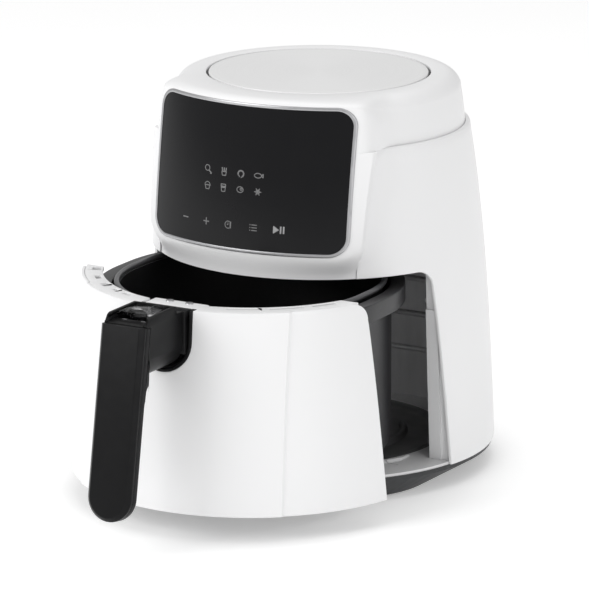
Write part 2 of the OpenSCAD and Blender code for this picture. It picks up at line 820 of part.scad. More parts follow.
module handle_socket() color("#1c1c1d")
    at_drawer()
        difference() {
            union() {
                intersection() {
                    along_y(-socket_back, far) u_outline(0);
                    difference() {
                        shell_core(80, rim_top, drawer_proud + 0.8, 4);
                        along_y(-socket_back - 2, far) u_outline(-2);
                    }
                }
                // bar that the latch hooks under
                intersection() {
                    block(-far, far, catch_y - 3, catch_y + 3, catch_z, catch_z + 3);
                    along_y(-socket_back, far) u_outline(-0.5);
                }
            }
            block(-far, far, -far, far, rim_top, far);
            // the basket's bridge lies over the socket's rear wall
            block(-far, far, -socket_back - 2.1, 0, bridge_z - bridge_t - fit, far);
        }

bracket_x = 19;

module pan_bracket() color("silver")
    at_drawer() {
        block(-bracket_x, bracket_x, -pan_front - 2.1, -pan_front - 0.1, 46, 108);
        block(-bracket_x, bracket_x, -boss_face + 0.1, -boss_face + 2.1, 46, 50);
        block(-bracket_x, bracket_x, -boss_face + 0.1, -boss_face + 2.1, 104, 108);
        both_sides() {
            block(bracket_x - 2, bracket_x, -boss_face + 0.1, -pan_front - 0.1, 46, 108);
            difference() {
                block(5, bracket_x, -boss_face + 0.1, -boss_face + 2.1, 46, 108);
                for (s = boss_spots)
                    translate([s[0], 0, s[1]]) along_y(-boss_face + 10, 20) circle(2);
            }
        }
    }

module pan_screws() color("silver")
    at_drawer()
        for (s = boss_spots)
            translate([s[0], 0, s[1]]) {
                along_y(-boss_face + 4.3, 2.2) circle(3.6);
                along_y(-boss_face + 2.1, 8) circle(1.7);
            }

// ---- Basket and handle ----

module basket_profile() {
    r = basket_corner;
    polygon(concat([[0, basket_z]], arc(r - 12, basket_z + 12, 12, -90, 0, 5),
        [[r, basket_rim_z]],
        [[r + basket_rim_w, basket_rim_z], [r + basket_rim_w, basket_rim_z + basket_rim_h - 1],
            [r + basket_rim_w - 1, basket_rim_z + basket_rim_h], [r, basket_rim_z + basket_rim_h],
            [r - sheet_t, basket_rim_z + basket_rim_h - 1.2]],
        reversed(arc(r - 12, basket_z + 12, 12 - sheet_t, -90, 0, 5)), [[0, basket_z + sheet_t]]));
}

hole_pitch = 15;
hole_reach = basket_corner - 4;

module rivet_places()
    for (x = [-8, 8])
        translate([x, -basket_front - 3, 0]) children();

module basket() color("#2b2b2d")
    at_drawer()
        difference() {
            union() {
                round_sweep(basket_x, -basket_front, basket_back, basket_corner) basket_profile();
                block(-basket_x + basket_corner, basket_x - basket_corner, -basket_front + basket_corner,
                    basket_back - basket_corner, basket_z, basket_z + sheet_t);
            }
            for (i = [-4:4])
                for (j = [-4:4])
                    if (norm([i, j]) * hole_pitch < hole_reach)
                        translate([i * hole_pitch, j * hole_pitch + 7, 0])
                            cylinder(h = basket_z + 5, r = basket_hole_r, $fn = 24);
            rivet_places() cylinder(h = far, r = 1.9, $fn = 24);
        }

bridge_z = rim_top - 1.2;
bridge_t = bridge_z - basket_rim_z - basket_rim_h - 0.1;
block_front = shell_r(150) + drawer_proud + 1;
block_x = socket_r - 4;
pivot_y = -112;
pivot_z = 150;
pin_r = 1.5;

module basket_bracket() color("white")
    at_drawer()
        difference() {
            union() {
                block(-socket_r + 2.6, socket_r - 2.6, -rim_edge_r + 0.5, -basket_front - 0.5,
                    bridge_z - bridge_t, bridge_z);
                block(-block_x, block_x, -block_front, -socket_back - 3, 134, bridge_z - 0.5);
            }
            block(-5, 5, -far, -socket_back - 7, 0, bridge_z - 4.5);
            translate([0, pivot_y, pivot_z]) rotate([0, 90, 0]) cylinder(h = 26, r = pin_r, center = true);
            rivet_places() cylinder(h = far, r = 1.9, $fn = 24);
        }

module bracket_rivets() color("silver")
    at_drawer()
        rivet_places() {
            translate([0, 0, basket_rim_z - 0.2])
                cylinder(h = bridge_z - basket_rim_z + 0.2, r = 1.8, $fn = 24);
            translate([0, 0, bridge_z]) cylinder(h = 0.8, r = 3, $fn = 32);
        }

grip_top_y = -(shell_r(opening_z) + drawer_proud + handle_reach);
grip_top_z = arm_top_z - 5.5;
cover_t = 5.5;
hw = handle_w / 2;
chamfer = 3;
arm_back_y = -block_front - 0.2;
arm_rear_top_y = grip_top_y + 46;
recess_y1 = arm_rear_top_y - 2.4;
lip_y = grip_top_y + 18.5;
recess_z = arm_top_z - 13;
rail_w = 3.2;
arm_under_z = socket_z;
button_y = grip_top_y + 33;

// Places a child drawn in the grip's own frame: x across, y back from its front, z up from its tip
module at_grip()
    translate([0, grip_top_y, grip_top_z]) rotate([-grip_lean, 0, 0]) translate([0, 0, -grip_len]) children();

// Front view of the grip, with its fully rounded tip
module grip_face(grow)
    intersection() {
        union() {
            translate([0, hw]) circle(hw + grow);
            translate([-hw - grow, hw]) square([2 * (hw + grow), grip_len + 20]);
        }
        square([far, far], center = true);
    }

module grip_section(y0, y1)
    intersection() {
        linear_extrude(grip_len)
            intersection() {
                polygon([[-hw, chamfer], [-hw + chamfer, 0], [hw - chamfer, 0], [hw, chamfer],
                    [hw, grip_t - 2], [hw - 2, grip_t], [-hw + 2, grip_t], [-hw, grip_t - 2]]);
                translate([-far, y0]) square([2 * far, y1 - y0]);
            }
        translate([0, grip_t + 1, 0]) rotate([90, 0, 0]) linear_extrude(grip_t + 2) grip_face(0);
    }

grip_screw_zs = [30, 95];

module grip_cover() color("#1b1b1c")
    at_drawer()
        at_grip()
            difference() {
                grip_section(0, cover_t);
                for (z = grip_screw_zs)
                    translate([0, 1.5, z]) rotate([-90, 0, 0]) cylinder(h = 10, r = 1.45, $fn = 32);
            }

fillet_r = 26;

// Side view of the arm: flat top, sloped lip, and an underside that sweeps down into the grip
module arm_outline() {
    back_y = grip_top_y + cover_t;
    polygon(concat(
        [[arm_back_y, arm_under_z], [arm_back_y, grip_top_z], [arm_rear_top_y, grip_top_z],
            [arm_rear_top_y + 1, arm_top_z - 1.5], [arm_rear_top_y - 1, arm_top_z],
            [grip_top_y + 12, arm_top_z], [grip_top_y + 6, grip_top_z], [back_y, grip_top_z]],
        [[back_y - sin(grip_lean) * 55, grip_top_z - 55]],
        [[grip_top_y + grip_t - sin(grip_lean) * 55, grip_top_z - 55]],
        arc(grip_top_y + grip_t + fillet_r - 4, arm_under_z - fillet_r, fillet_r, 180, 90)));
}

module handle_arm() color("#1b1b1c")
    at_drawer()
        difference() {
            union() {
                rotate([90, 0, 90]) linear_extrude(handle_w - 0.6, center = true) arm_outline();
                at_grip() grip_section(cover_t, grip_t);
            }
            // the grip's cover lies in front
            at_grip() block(-far, far, -far, cover_t + 0.05, -far, grip_len + 1);
            // recess between the rails, with the guard's grooves
            block(-hw + rail_w, hw - rail_w, lip_y, recess_y1, recess_z, far);
            block(-hw + rail_w, hw - rail_w, grip_top_y, lip_y + 1, grip_top_z, far);
            block(-hw + rail_w - 1.3, hw - rail_w + 1.3, grip_top_y, recess_y1,
                arm_top_z - 3.2, arm_top_z - 1.4);
            // latch tunnel and the button's stem
            block(-5, 5, lip_y + 6, far, 145, 157);
            translate([0, button_y, 150]) cylinder(h = 20, r = 4.4);
            for (z = grip_screw_zs)
                at_grip() translate([0, 0, z]) rotate([-90, 0, 0]) {
                    cylinder(h = 20, r = 1.8, $fn = 32);
                    translate([0, 0, grip_t - 3]) cylinder(h = 20, r = 3.6, $fn = 32);
                }
        }

module handle_screws() color("silver")
    at_drawer()
        at_grip()
            for (z = grip_screw_zs)
                translate([0, 0, z]) rotate([-90, 0, 0]) {
                    translate([0, 0, 2]) cylinder(h = grip_t - 5, r = 1.4, $fn = 32);
                    translate([0, 0, grip_t - 3]) cylinder(h = 2, r = 3.4, $fn = 32);
                }

module latch_pin() color("silver")
    at_drawer()
        translate([0, pivot_y, pivot_z]) rotate([0, 90, 0]) cylinder(h = 24, r = pin_r, center = true);

guard_z = arm_top_z - 3;
guard_len = 25;

module button_guard() color("lightgray", 0.5)
    at_drawer() {
        block(-hw + rail_w + 0.4, hw - rail_w - 0.4, recess_y1 - 0.4 - guard_len, recess_y1 - 0.4,
            guard_z, arm_top_z - 0.6);
        block(-hw + rail_w - 0.9, hw - rail_w + 0.9, recess_y1 - 0.4 - guard_len, recess_y1 - 0.4,
            guard_z, guard_z + 1.3);
    }

button_top = guard_z - 0.5;

module release_button() color("#151515")
    at_drawer()
        translate([0, button_y, 0]) {
            translate([0, 0, button_top - 3.4]) linear_extrude(3.4)
                rounded_rect(-button_w / 2, button_w / 2, -button_w / 2, button_w / 2, 5);
            translate([0, 0, pivot_z + 3.5]) cylinder(h = button_top - pivot_z - 4, r = 4);
        }

module button_spring() color("silver")
    at_drawer()
        for (i = [0:3])
            translate([0, button_y, recess_z + 0.55 + i * (button_top - 3.4 - recess_z - 1.1) / 3])
                rotate_extrude() translate([6, 0]) circle(0.5, $fn = 24);

module latch_lever() color("dimgray")
    at_drawer()
        difference() {
            union() {
                block(-3.5, 3.5, button_y - 5, pivot_y, pivot_z, pivot_z + 3);
                translate([0, pivot_y, pivot_z]) rotate([0, 90, 0]) cylinder(h = 7, r = 4, center = true);
                block(-3.5, 3.5, pivot_y - 1.5, pivot_y + 1.5, nose_z - 3, pivot_z);
                block(-3.5, 3.5, catch_y + 1.5, pivot_y + 1.5, nose_z - 3, nose_z);
            }
            translate([0, pivot_y, pivot_z]) rotate([0, 90, 0])
                cylinder(h = 20, r = pin_r + 0.05, center = true);
        }

side_shell();
top_housing();
disc_ring();
top_disc();
panel_trim();
control_panel();
light_guide();
display_board();
display_bracket();
base_tray();
feet();
floor_plate();
front_frame();
cavity_liner();
floor_dish();
air_guide();
heat_reflector();
heating_element();
element_guard();
motor_bracket();
motor();
cooling_duct();
thermal_cutout();
temperature_probe();
board_tray();
power_board();
rear_outlet();
cord_inlet();
drawer_switch();
switch_plunger();
base_screws();
motor_shaft();
hot_air_fan();
cooling_fan();
drawer_front();
drawer_rim();
pan();
handle_socket();
pan_bracket();
pan_screws();
basket();
basket_bracket();
bracket_rivets();
handle_arm();
grip_cover();
handle_screws();
latch_pin();
button_spring();
button_guard();
release_button();
latch_lever();
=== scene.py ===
"""An air fryer with its drawer pulled out: white moulded body, black glass panel, black handle.
Everything is built in the CAD frame: the body's upright axis is Z, the drawer slides along -Y."""

import math

import bmesh
import bpy
from mathutils import Matrix, Vector


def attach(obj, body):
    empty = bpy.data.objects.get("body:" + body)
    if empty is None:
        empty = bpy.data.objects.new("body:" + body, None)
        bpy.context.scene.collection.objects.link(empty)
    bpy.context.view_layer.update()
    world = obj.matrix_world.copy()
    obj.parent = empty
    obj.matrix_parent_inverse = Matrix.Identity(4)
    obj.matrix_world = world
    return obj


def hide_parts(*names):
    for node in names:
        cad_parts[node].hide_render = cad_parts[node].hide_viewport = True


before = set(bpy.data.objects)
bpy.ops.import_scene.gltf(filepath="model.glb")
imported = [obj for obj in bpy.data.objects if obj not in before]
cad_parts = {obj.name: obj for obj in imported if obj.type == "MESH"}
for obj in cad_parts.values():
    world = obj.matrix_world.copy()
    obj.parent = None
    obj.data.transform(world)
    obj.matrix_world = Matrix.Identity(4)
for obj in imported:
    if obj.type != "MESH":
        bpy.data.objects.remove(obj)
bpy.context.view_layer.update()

# ---- Side shell ----
# The white drum round the machine. It is one moulding in gloss ABS, open at the front for the
# drawer and the fascia, and it is held by screws that come up through the base.
SHELL_FOOT = 17.6
SHELL_TOP = 259
SHELL_WALL = 2.4
FAR = 400
TURN_STEPS = 240
DRAWER_OUT = 98.9


def shell_radius(z):
    """Outer radius of the side shell: a straight lean that closes in towards its top."""
    return 134 - 0.042 * z - 10.722 * (z / SHELL_TOP) ** 3


def heights(low, high, count):
    return [low + (high - low) * i / count for i in range(count + 1)]


def arc(cx, cy, radius, start, end, count=8):
    angles = [math.radians(a) for a in heights(start, end, count)]
    return [(cx + radius * math.cos(a), cy + radius * math.sin(a)) for a in angles]


def circle(cx, cy, radius):
    return arc(cx, cy, radius, 0, 345, 23)


def turned(outline, closed=True):
    """A shape turned about the upright axis from (radius, height) points, each marked with its row."""
    bm = bmesh.new()
    row = bm.verts.layers.int.new("row")
    points = [bm.verts.new((r, 0, z)) for r, z in outline]
    for number, point in enumerate(points):
        point[row] = number
    ends = points[1:] + points[:1] if closed else points[1:]
    edges = [bm.edges.new(pair) for pair in zip(points, ends)]
    bmesh.ops.spin(bm, geom=points + edges, cent=(0, 0, 0), axis=(0, 0, 1), angle=math.tau,
                   steps=TURN_STEPS, use_merge=True)
    bmesh.ops.remove_doubles(bm, verts=bm.verts, dist=1e-4)
    bmesh.ops.recalc_face_normals(bm, faces=bm.faces)
    return bm


def slab(outline, low, high, along):
    """A flat outline carried from low to high along one axis."""
    spot = {"X": lambda a, b: (low, a, b), "Y": lambda a, b: (a, low, b), "Z": lambda a, b: (a, b, low)}
    travel = Vector([high - low if axis == along else 0 for axis in "XYZ"])
    bm = bmesh.new()
    face = bm.faces.new([bm.verts.new(spot[along](a, b)) for a, b in outline])
    grown = bmesh.ops.extrude_face_region(bm, geom=[face])
    moved = [v for v in grown["geom"] if isinstance(v, bmesh.types.BMVert)]
    bmesh.ops.translate(bm, verts=moved, vec=travel)
    bmesh.ops.recalc_face_normals(bm, faces=bm.faces)
    return bm


def box(x0, x1, y0, y1, z0, z1):
    bm = bmesh.new()
    size = Matrix.Diagonal((x1 - x0, y1 - y0, z1 - z0, 1))
    middle = Matrix.Translation(((x0 + x1) / 2, (y0 + y1) / 2, (z0 + z1) / 2))
    bmesh.ops.create_cube(bm, size=1, matrix=middle @ size)
    return bm


def as_object(bm, name):
    mesh = bpy.data.meshes.new(name)
    bm.to_mesh(mesh)
    bm.free()
    made = bpy.data.objects.new(name, mesh)
    bpy.context.scene.collection.objects.link(made)
    return made


def cut(blank, *tools, how="DIFFERENCE"):
    """The blank less the tools, or joined with them, or only where they overlap."""
    blank = as_object(blank, "blank")
    tools = [as_object(tool, "tool") for tool in tools]
    for tool in tools:
        step = blank.modifiers.new("cut", "BOOLEAN")
        step.operation = how
        step.solver = "EXACT"
        step.object = tool
    shaped = blank.evaluated_get(bpy.context.evaluated_depsgraph_get())
    bm = bmesh.new()
    bm.from_mesh(shaped.to_mesh())
    shaped.to_mesh_clear()
    for used in [blank, *tools]:
        mesh = used.data
        bpy.data.objects.remove(used)
        bpy.data.meshes.remove(mesh)
    return bm


def soften(bm, width, segments=2, angle=35, merge=0.2):
    """Rounds the sharp edges, as a mould leaves them."""
    bmesh.ops.remove_doubles(bm, verts=bm.verts, dist=merge)
    bmesh.ops.dissolve_degenerate(bm, dist=0.01, edges=bm.edges)
    limit = math.radians(angle)
    sharp = [e for e in bm.edges if e.is_manifold and e.calc_face_angle(0) > limit]
    bmesh.ops.bevel(bm, geom=sharp, offset=width, offset_type="OFFSET", segments=segments,
                    profile=0.5, affect="EDGES", clamp_overlap=False, material=-1)
    return bm


def mirrored(bm):
    """Adds the other side's copy across the X = 0 plane."""
    copy = bmesh.ops.duplicate(bm, geom=bm.verts[:] + bm.edges[:] + bm.faces[:])["geom"]
    verts = [v for v in copy if isinstance(v, bmesh.types.BMVert)]
    bmesh.ops.scale(bm, vec=(-1, 1, 1), verts=verts)
    bmesh.ops.remove_doubles(bm, verts=bm.verts, dist=1e-4)
    bmesh.ops.recalc_face_normals(bm, faces=bm.faces)
    return bm


def node_group(name, inputs, outputs):
    tree = bpy.data.node_groups.new(name, "ShaderNodeTree")
    for label, kind, value in inputs:
        socket = tree.interface.new_socket(label, in_out="INPUT", socket_type="NodeSocket" + kind)
        socket.default_value = value
    for label, kind in outputs:
        tree.interface.new_socket(label, in_out="OUTPUT", socket_type="NodeSocket" + kind)
    return tree, tree.nodes.new("NodeGroupInput").outputs, tree.nodes.new("NodeGroupOutput").inputs


def calculate(tree, operation, a, b, clamp=False):
    node = tree.nodes.new("ShaderNodeMath")
    node.operation = operation
    node.use_clamp = clamp
    for socket, value in zip(node.inputs, (a, b)):
        if isinstance(value, (int, float)):
            socket.default_value = value
        else:
            tree.links.new(value, socket)
    return node.outputs[0]


def mix_colour(tree, factor, a, b):
    node = tree.nodes.new("ShaderNodeMix")
    node.data_type = "RGBA"
    for socket, value in ((node.inputs[0], factor), (node.inputs[6], a), (node.inputs[7], b)):
        if isinstance(value, (tuple, float, int)):
            socket.default_value = value
        else:
            tree.links.new(value, socket)
    return node.outputs[2]


def noise(tree, scale, detail, stretch=None):
    """A noise on the piece's own place, stretched by a Mapping node if asked."""
    place = tree.nodes.new("ShaderNodeTexCoord").outputs["Object"]
    if stretch:
        mapping = tree.nodes.new("ShaderNodeMapping")
        mapping.inputs["Scale"].default_value = stretch
        tree.links.new(place, mapping.inputs["Vector"])
        place = mapping.outputs["Vector"]
    node = tree.nodes.new("ShaderNodeTexNoise")
    node.inputs["Detail"].default_value = detail
    tree.links.new(place, node.inputs["Vector"])
    if isinstance(scale, (int, float)):
        node.inputs["Scale"].default_value = scale
    else:
        tree.links.new(scale, node.inputs["Scale"])
    return node.outputs["Fac"]


# Fine moulded grain: a slight change of tone and gloss, and a fine height for the bump
grain, grain_in, grain_out = node_group(
    "moulded_grain",
    [("Colour", "Color", (0.8, 0.8, 0.8, 1)), ("Darker", "Color", (0.7, 0.7, 0.7, 1)),
     ("Roughness", "Float", 0.4), ("Gloss change", "Float", 0.06), ("Grain size", "Float", 900)],
    [("Colour", "Color"), ("Roughness", "Float"), ("Height", "Float")])
cloudy = noise(grain, 14, 3)
fine = noise(grain, grain_in["Grain size"], 2)
grain.links.new(mix_colour(grain, cloudy, grain_in["Colour"], grain_in["Darker"]), grain_out["Colour"])
swing = calculate(grain, "MULTIPLY", calculate(grain, "SUBTRACT", cloudy, 0.5), grain_in["Gloss change"])
grain.links.new(calculate(grain, "ADD", grain_in["Roughness"], swing), grain_out["Roughness"])
grain.links.new(fine, grain_out["Height"])

# A trace of dust where a surface looks up
dust, dust_in, dust_out = node_group(
    "settled_dust",
    [("Colour", "Color", (0.8, 0.8, 0.8, 1)), ("Roughness", "Float", 0.4), ("Amount", "Float", 0.05)],
    [("Colour", "Color"), ("Roughness", "Float")])
facing = dust.nodes.new("ShaderNodeSeparateXYZ")
dust.links.new(dust.nodes.new("ShaderNodeNewGeometry").outputs["Normal"], facing.inputs[0])
upward = calculate(dust, "MULTIPLY", facing.outputs["Z"], noise(dust, 60, 5), clamp=True)
layer = calculate(dust, "MULTIPLY", upward, dust_in["Amount"], clamp=True)
dust.links.new(mix_colour(dust, layer, dust_in["Colour"], (0.55, 0.53, 0.5, 1)), dust_out["Colour"])
dust.links.new(calculate(dust, "ADD", dust_in["Roughness"], layer), dust_out["Roughness"])

# Edges made lighter: partly rubbed by hands and cloths, partly a painted highlight along the edges
wear_and_highlight, wear_and_highlight_in, wear_and_highlight_out = node_group(
    "rubbed_edges_and_painted_highlight", [("Colour", "Color", (0.8, 0.8, 0.8, 1)), ("Worn", "Color", (0.9, 0.9, 0.9, 1)),
                     ("Amount", "Float", 0.5)], [("Colour", "Color")])
point = wear_and_highlight.nodes.new("ShaderNodeNewGeometry").outputs["Pointiness"]
raised = calculate(wear_and_highlight, "MULTIPLY", calculate(wear_and_highlight, "SUBTRACT", point, 0.51), 9, clamp=True)
patchy = calculate(wear_and_highlight, "MULTIPLY", raised, noise(wear_and_highlight, 120, 3), clamp=True)
shown = calculate(wear_and_highlight, "MULTIPLY", patchy, wear_and_highlight_in["Amount"], clamp=True)
wear_and_highlight.links.new(mix_colour(wear_and_highlight, shown, wear_and_highlight_in["Colour"], wear_and_highlight_in["Worn"]), wear_and_highlight_out["Colour"])


def place_group(tree, group, **values):
    node = tree.nodes.new("ShaderNodeGroup")
    node.node_tree = group
    for label, value in values.items():
        socket = node.inputs[label.replace("_", " ")]
        if isinstance(value, bpy.types.NodeSocket):
            tree.links.new(value, socket)
        else:
            socket.default_value = value
    return node.outputs


def new_material(name):
    material = bpy.data.materials.new(name)
    material.use_nodes = True
    return material, material.node_tree, material.node_tree.nodes["Principled BSDF"].inputs


def bump(tree, height, strength, distance, inputs):
    node = tree.nodes.new("ShaderNodeBump")
    node.inputs["Strength"].default_value = strength
    node.inputs["Distance"].default_value = distance
    tree.links.new(height, node.inputs["Height"])
    tree.links.new(node.outputs["Normal"], inputs["Normal"])


def plastic(name, colour, darker, roughness, change=0.06, size=900, height=0.05, dirt=0.04, rub_and_highlight_amount=0.0,
            worn_and_lit_colour=(0.9, 0.9, 0.9, 1), shine=0.5):
    """A moulded plastic, built from the grain, edge and dust groups."""
    material, tree, inputs = new_material(name)
    skin = place_group(tree, grain, Colour=(*colour, 1), Darker=(*darker, 1), Roughness=roughness,
                       Gloss_change=change, Grain_size=size)
    # Convex edges lightened: part rubbed wear, part painted highlight.
    edge = place_group(tree, wear_and_highlight, Colour=skin["Colour"], Worn=worn_and_lit_colour, Amount=rub_and_highlight_amount)
    top = place_group(tree, dust, Colour=edge["Colour"], Roughness=skin["Roughness"], Amount=dirt)
    tree.links.new(top["Colour"], inputs["Base Color"])
    tree.links.new(top["Roughness"], inputs["Roughness"])
    bump(tree, skin["Height"], height, 0.0002, inputs)
    inputs["Specular IOR Level"].default_value = shine
    return material


def fit_piece(bm, name, body, material, crease=30):
    """Turns finished millimetre geometry into a piece in metres that rides on a body.
    All but the housing's pieces are drawn with the drawer shut, and move out with it."""
    if body != "housing":
        bmesh.ops.translate(bm, verts=bm.verts, vec=(0, -DRAWER_OUT, 0))
    bmesh.ops.scale(bm, vec=(0.001, 0.001, 0.001), verts=bm.verts)
    made = as_object(bm, name)
    made.data.shade_smooth()
    made.data.set_sharp_from_angle(angle=math.radians(crease))
    made.data.materials.append(material)
    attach(made, body)
    return made


white_gloss = plastic("white_gloss_abs", (0.87, 0.87, 0.875), (0.85, 0.85, 0.855), 0.34)

OPENING_TOP = 166.5
OPENING_SLANT = 4
OPENING_CORNER = 13
SEAM_X = 82.5
SEAM_CORNER = 4
LIP_R = 111
OUTLET_HALF = 38.3
OUTLET_FOOT = 195.7
OUTLET_TOP = 236.3
INLET = (42, 44)
INLET_R = 7


def opening_y(z):
    return -30.8 - math.tan(math.radians(OPENING_SLANT)) * (z - SHELL_FOOT)


def opening_side(gap, corner):
    """Side view of the drawer's opening: a slanted rear edge with a rounded upper corner."""
    slant = math.radians(OPENING_SLANT)
    top = OPENING_TOP - gap
    corner_y = opening_y(top - corner + corner * math.sin(slant)) - gap - corner * math.cos(slant)
    bend = arc(corner_y, top - corner, corner, OPENING_SLANT, 90, 10)
    return [(-FAR, -FAR), (opening_y(-FAR) - gap, -FAR), *bend, (-FAR, top)]


shell_line = [(shell_radius(z), z) for z in heights(SHELL_FOOT, SHELL_TOP - 1.2, 40)]
shell_lip = [(LIP_R + 1.2, SHELL_TOP - 0.6), (LIP_R + 0.7, SHELL_TOP - 0.15), (LIP_R, SHELL_TOP),
             (LIP_R - 2, SHELL_TOP), (LIP_R - 2, SHELL_TOP - SHELL_WALL)]
corner_x = SEAM_X + SEAM_CORNER
corner_z = SHELL_TOP - SEAM_CORNER
corner_line = [(SEAM_X - 1, SHELL_TOP + 1), (SEAM_X - 1, corner_z),
               *arc(corner_x, corner_z, SEAM_CORNER, 180, 90, 6), (corner_x, SHELL_TOP + 1)]
shell_corner = slab(corner_line, -FAR, 0, "Y")
inner_levels = heights(SHELL_FOOT, SHELL_TOP - SHELL_WALL, 40)
shell_back = [(shell_radius(z) - SHELL_WALL, z) for z in inner_levels]
shell = cut(turned(shell_line + shell_lip + shell_back[::-1]),
            slab(opening_side(0, OPENING_CORNER), -FAR, FAR, "X"),
            box(-SEAM_X, SEAM_X, -FAR, 0, OPENING_TOP - 20, FAR),
            mirrored(shell_corner),
            box(-OUTLET_HALF, OUTLET_HALF, 0, FAR, OUTLET_FOOT, OUTLET_TOP),
            slab(circle(*INLET, INLET_R), 0, FAR, "Y"))
side_shell = fit_piece(soften(shell, 0.6), "side_shell_skin", "housing", white_gloss)
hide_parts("side_shell")

# ---- Top housing: cap and fascia ----
# One white moulding: the round cap that steps in above the side shell, and the fascia that runs
# down its front to the drawer. The fascia swells out to carry the panel and meets it flush.
FASCIA_SET_IN = 1.5
FASCIA_TOP_R = 108.8
CAP_R = 108.7
CAP_FLAT_R = 93.9
CAP_FOOT = 253
CAP_ROLL = 12
FRONT_ROLL = 5
FRONT_FOOT_R = 110.9
WALL_FOOT = 259.15
BODY_TOP = 295
SEAT_R = 83.3
SEAT_FLOOR = 291
PANEL_FOOT = 184
PANEL_TOP = 291.5
PANEL_HALF = 81.4
PANEL_CENTRE_BACK = 34
PANEL_CORNER = 14
SEAM_COLUMN = 48
SEAM_GAP = 0.8


def panel_radius(z):
    """How far the middle of the glass stands from the axis: a straight lean with a slight crown."""
    u = (z - PANEL_FOOT) / (PANEL_TOP - PANEL_FOOT)
    return 124.1 - 0.119 * (z - PANEL_FOOT) + 4 * u * (1 - u)


def panel_reach(z, angle):
    """Distance of the glass from the axis at an angle off the front: it is flatter than the body."""
    radius = panel_radius(z) + PANEL_CENTRE_BACK
    aside = PANEL_CENTRE_BACK * math.sin(math.radians(angle))
    return math.sqrt(radius ** 2 - aside ** 2) - PANEL_CENTRE_BACK * math.cos(math.radians(angle))


def smooth(low, high, value):
    t = min(1, max(0, (value - low) / (high - low)))
    return t * t * (3 - 2 * t)


def outside_panel(x, z):
    """Distance outwards from the panel's rounded outline."""
    across = abs(x) - PANEL_HALF + PANEL_CORNER
    up = abs(z - (PANEL_FOOT + PANEL_TOP) / 2) - (PANEL_TOP - PANEL_FOOT) / 2 + PANEL_CORNER
    return math.hypot(max(across, 0), max(up, 0)) - PANEL_CORNER


# Each row gives the cap's radius and height, the fascia's, and how far it may swell
lower_rows = [((CAP_R, CAP_FOOT + 6 * u), (shell_radius(z) - FASCIA_SET_IN, z), 1)
              for u, z in zip(heights(0, 1, 40), heights(OPENING_TOP, SHELL_TOP, 40))]
wall_rows = []
for u in heights(0, 1, 16):
    cap_row = (CAP_R - 2.8 * u ** 1.5, WALL_FOOT + (BODY_TOP - CAP_ROLL - WALL_FOOT) * u)
    front_row = (FRONT_FOOT_R + (FASCIA_TOP_R - FRONT_FOOT_R) * u,
                 WALL_FOOT + (BODY_TOP - FRONT_ROLL - WALL_FOOT) * u)
    wall_rows.append((cap_row, front_row, 1))


def roll_rows(inset):
    rows = []
    for angle in heights(0, 90, 10):
        c = math.cos(math.radians(angle))
        s = math.sin(math.radians(angle))
        cap_row = (CAP_FLAT_R + (CAP_ROLL - inset) * c, BODY_TOP - CAP_ROLL + (CAP_ROLL - inset) * s)
        front_row = (FASCIA_TOP_R - FRONT_ROLL + (FRONT_ROLL - inset) * c,
                     BODY_TOP - FRONT_ROLL + (FRONT_ROLL - inset) * s)
        rows.append((cap_row, front_row, c))
    return rows


def ring_row(radius, z):
    return ((radius, z), (radius, z), 0)


outer_rows = lower_rows + wall_rows + roll_rows(0)
seat_rows = [ring_row(SEAT_R + 0.7, BODY_TOP), ring_row(SEAT_R + 0.2, BODY_TOP - 0.15),
             ring_row(SEAT_R, BODY_TOP - 0.6), ring_row(SEAT_R, SEAT_FLOOR), ring_row(75.4, SEAT_FLOOR),
             ring_row(75.4, SEAT_FLOOR - SHELL_WALL), ring_row(88, SEAT_FLOOR - SHELL_WALL)]
inner_wall = [((c[0] - SHELL_WALL, c[1]), (f[0] - SHELL_WALL, f[1]), swell)
              for c, f, swell in lower_rows + wall_rows]
cap_rows = outer_rows + seat_rows + roll_rows(SHELL_WALL)[:8][::-1] + inner_wall[::-1]
top = turned([row[0] for row in cap_rows])
row_layer = top.verts.layers.int["row"]
straight = len(lower_rows)
for vert in top.verts:
    number = vert[row_layer]
    (cap_r, cap_z), (front_r, front_z), swell = cap_rows[number]
    angle = math.degrees(math.atan2(vert.co.x, -vert.co.y))
    below = number < straight or number >= len(cap_rows) - straight
    if below:
        share = 1 if abs(angle) < SEAM_COLUMN + 0.5 else 0
        seam = math.degrees(math.asin((SEAM_X - SEAM_GAP) / front_r))
        if share:
            angle *= seam / SEAM_COLUMN
        else:
            past = (abs(angle) - SEAM_COLUMN) * (180 - seam) / (180 - SEAM_COLUMN)
            angle = math.copysign(seam + past, angle)
    else:
        share = 1 - smooth(42, 62, abs(angle))
    x = front_r * math.sin(math.radians(angle))
    level = min(front_z, BODY_TOP - FRONT_ROLL)
    near = 1 - smooth(0, 17.5, outside_panel(x, level))
    base = FASCIA_TOP_R if front_z > level else front_r
    rise = (panel_reach(level, min(abs(angle), 60)) - 0.4 - base) * near * swell
    inward = SHELL_WALL if number >= len(outer_rows) + len(seat_rows) else 0
    front_r += max(0, rise - inward)
    r = cap_r + (front_r - cap_r) * share
    vert.co = (r * math.sin(math.radians(angle)), -r * math.cos(math.radians(angle)),
               cap_z + (front_z - cap_z) * share)
top_housing = fit_piece(top, "cap_and_fascia", "housing", white_gloss, crease=40)
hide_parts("top_housing")

# ---- Round disc in the lid ----
# A spun, satin-lacquered plate pressed into the cap, with a near-black ring round it as painted shade for its
# groove.
# The fine circles of its turning catch the light in a fan.
DISC_R = 81.4
DISC_FOOT = 291.1
disc_edge = [(DISC_R, DISC_FOOT), (DISC_R, BODY_TOP - 0.6), (DISC_R - 0.2, BODY_TOP - 0.25),
             (DISC_R - 0.5, BODY_TOP - 0.07), (DISC_R - 1, BODY_TOP)]
disc_face = [(r, BODY_TOP) for r in (76, 60, 40, 20, 0)]
disc = turned([(0, DISC_FOOT)] + disc_edge + disc_face, closed=False)

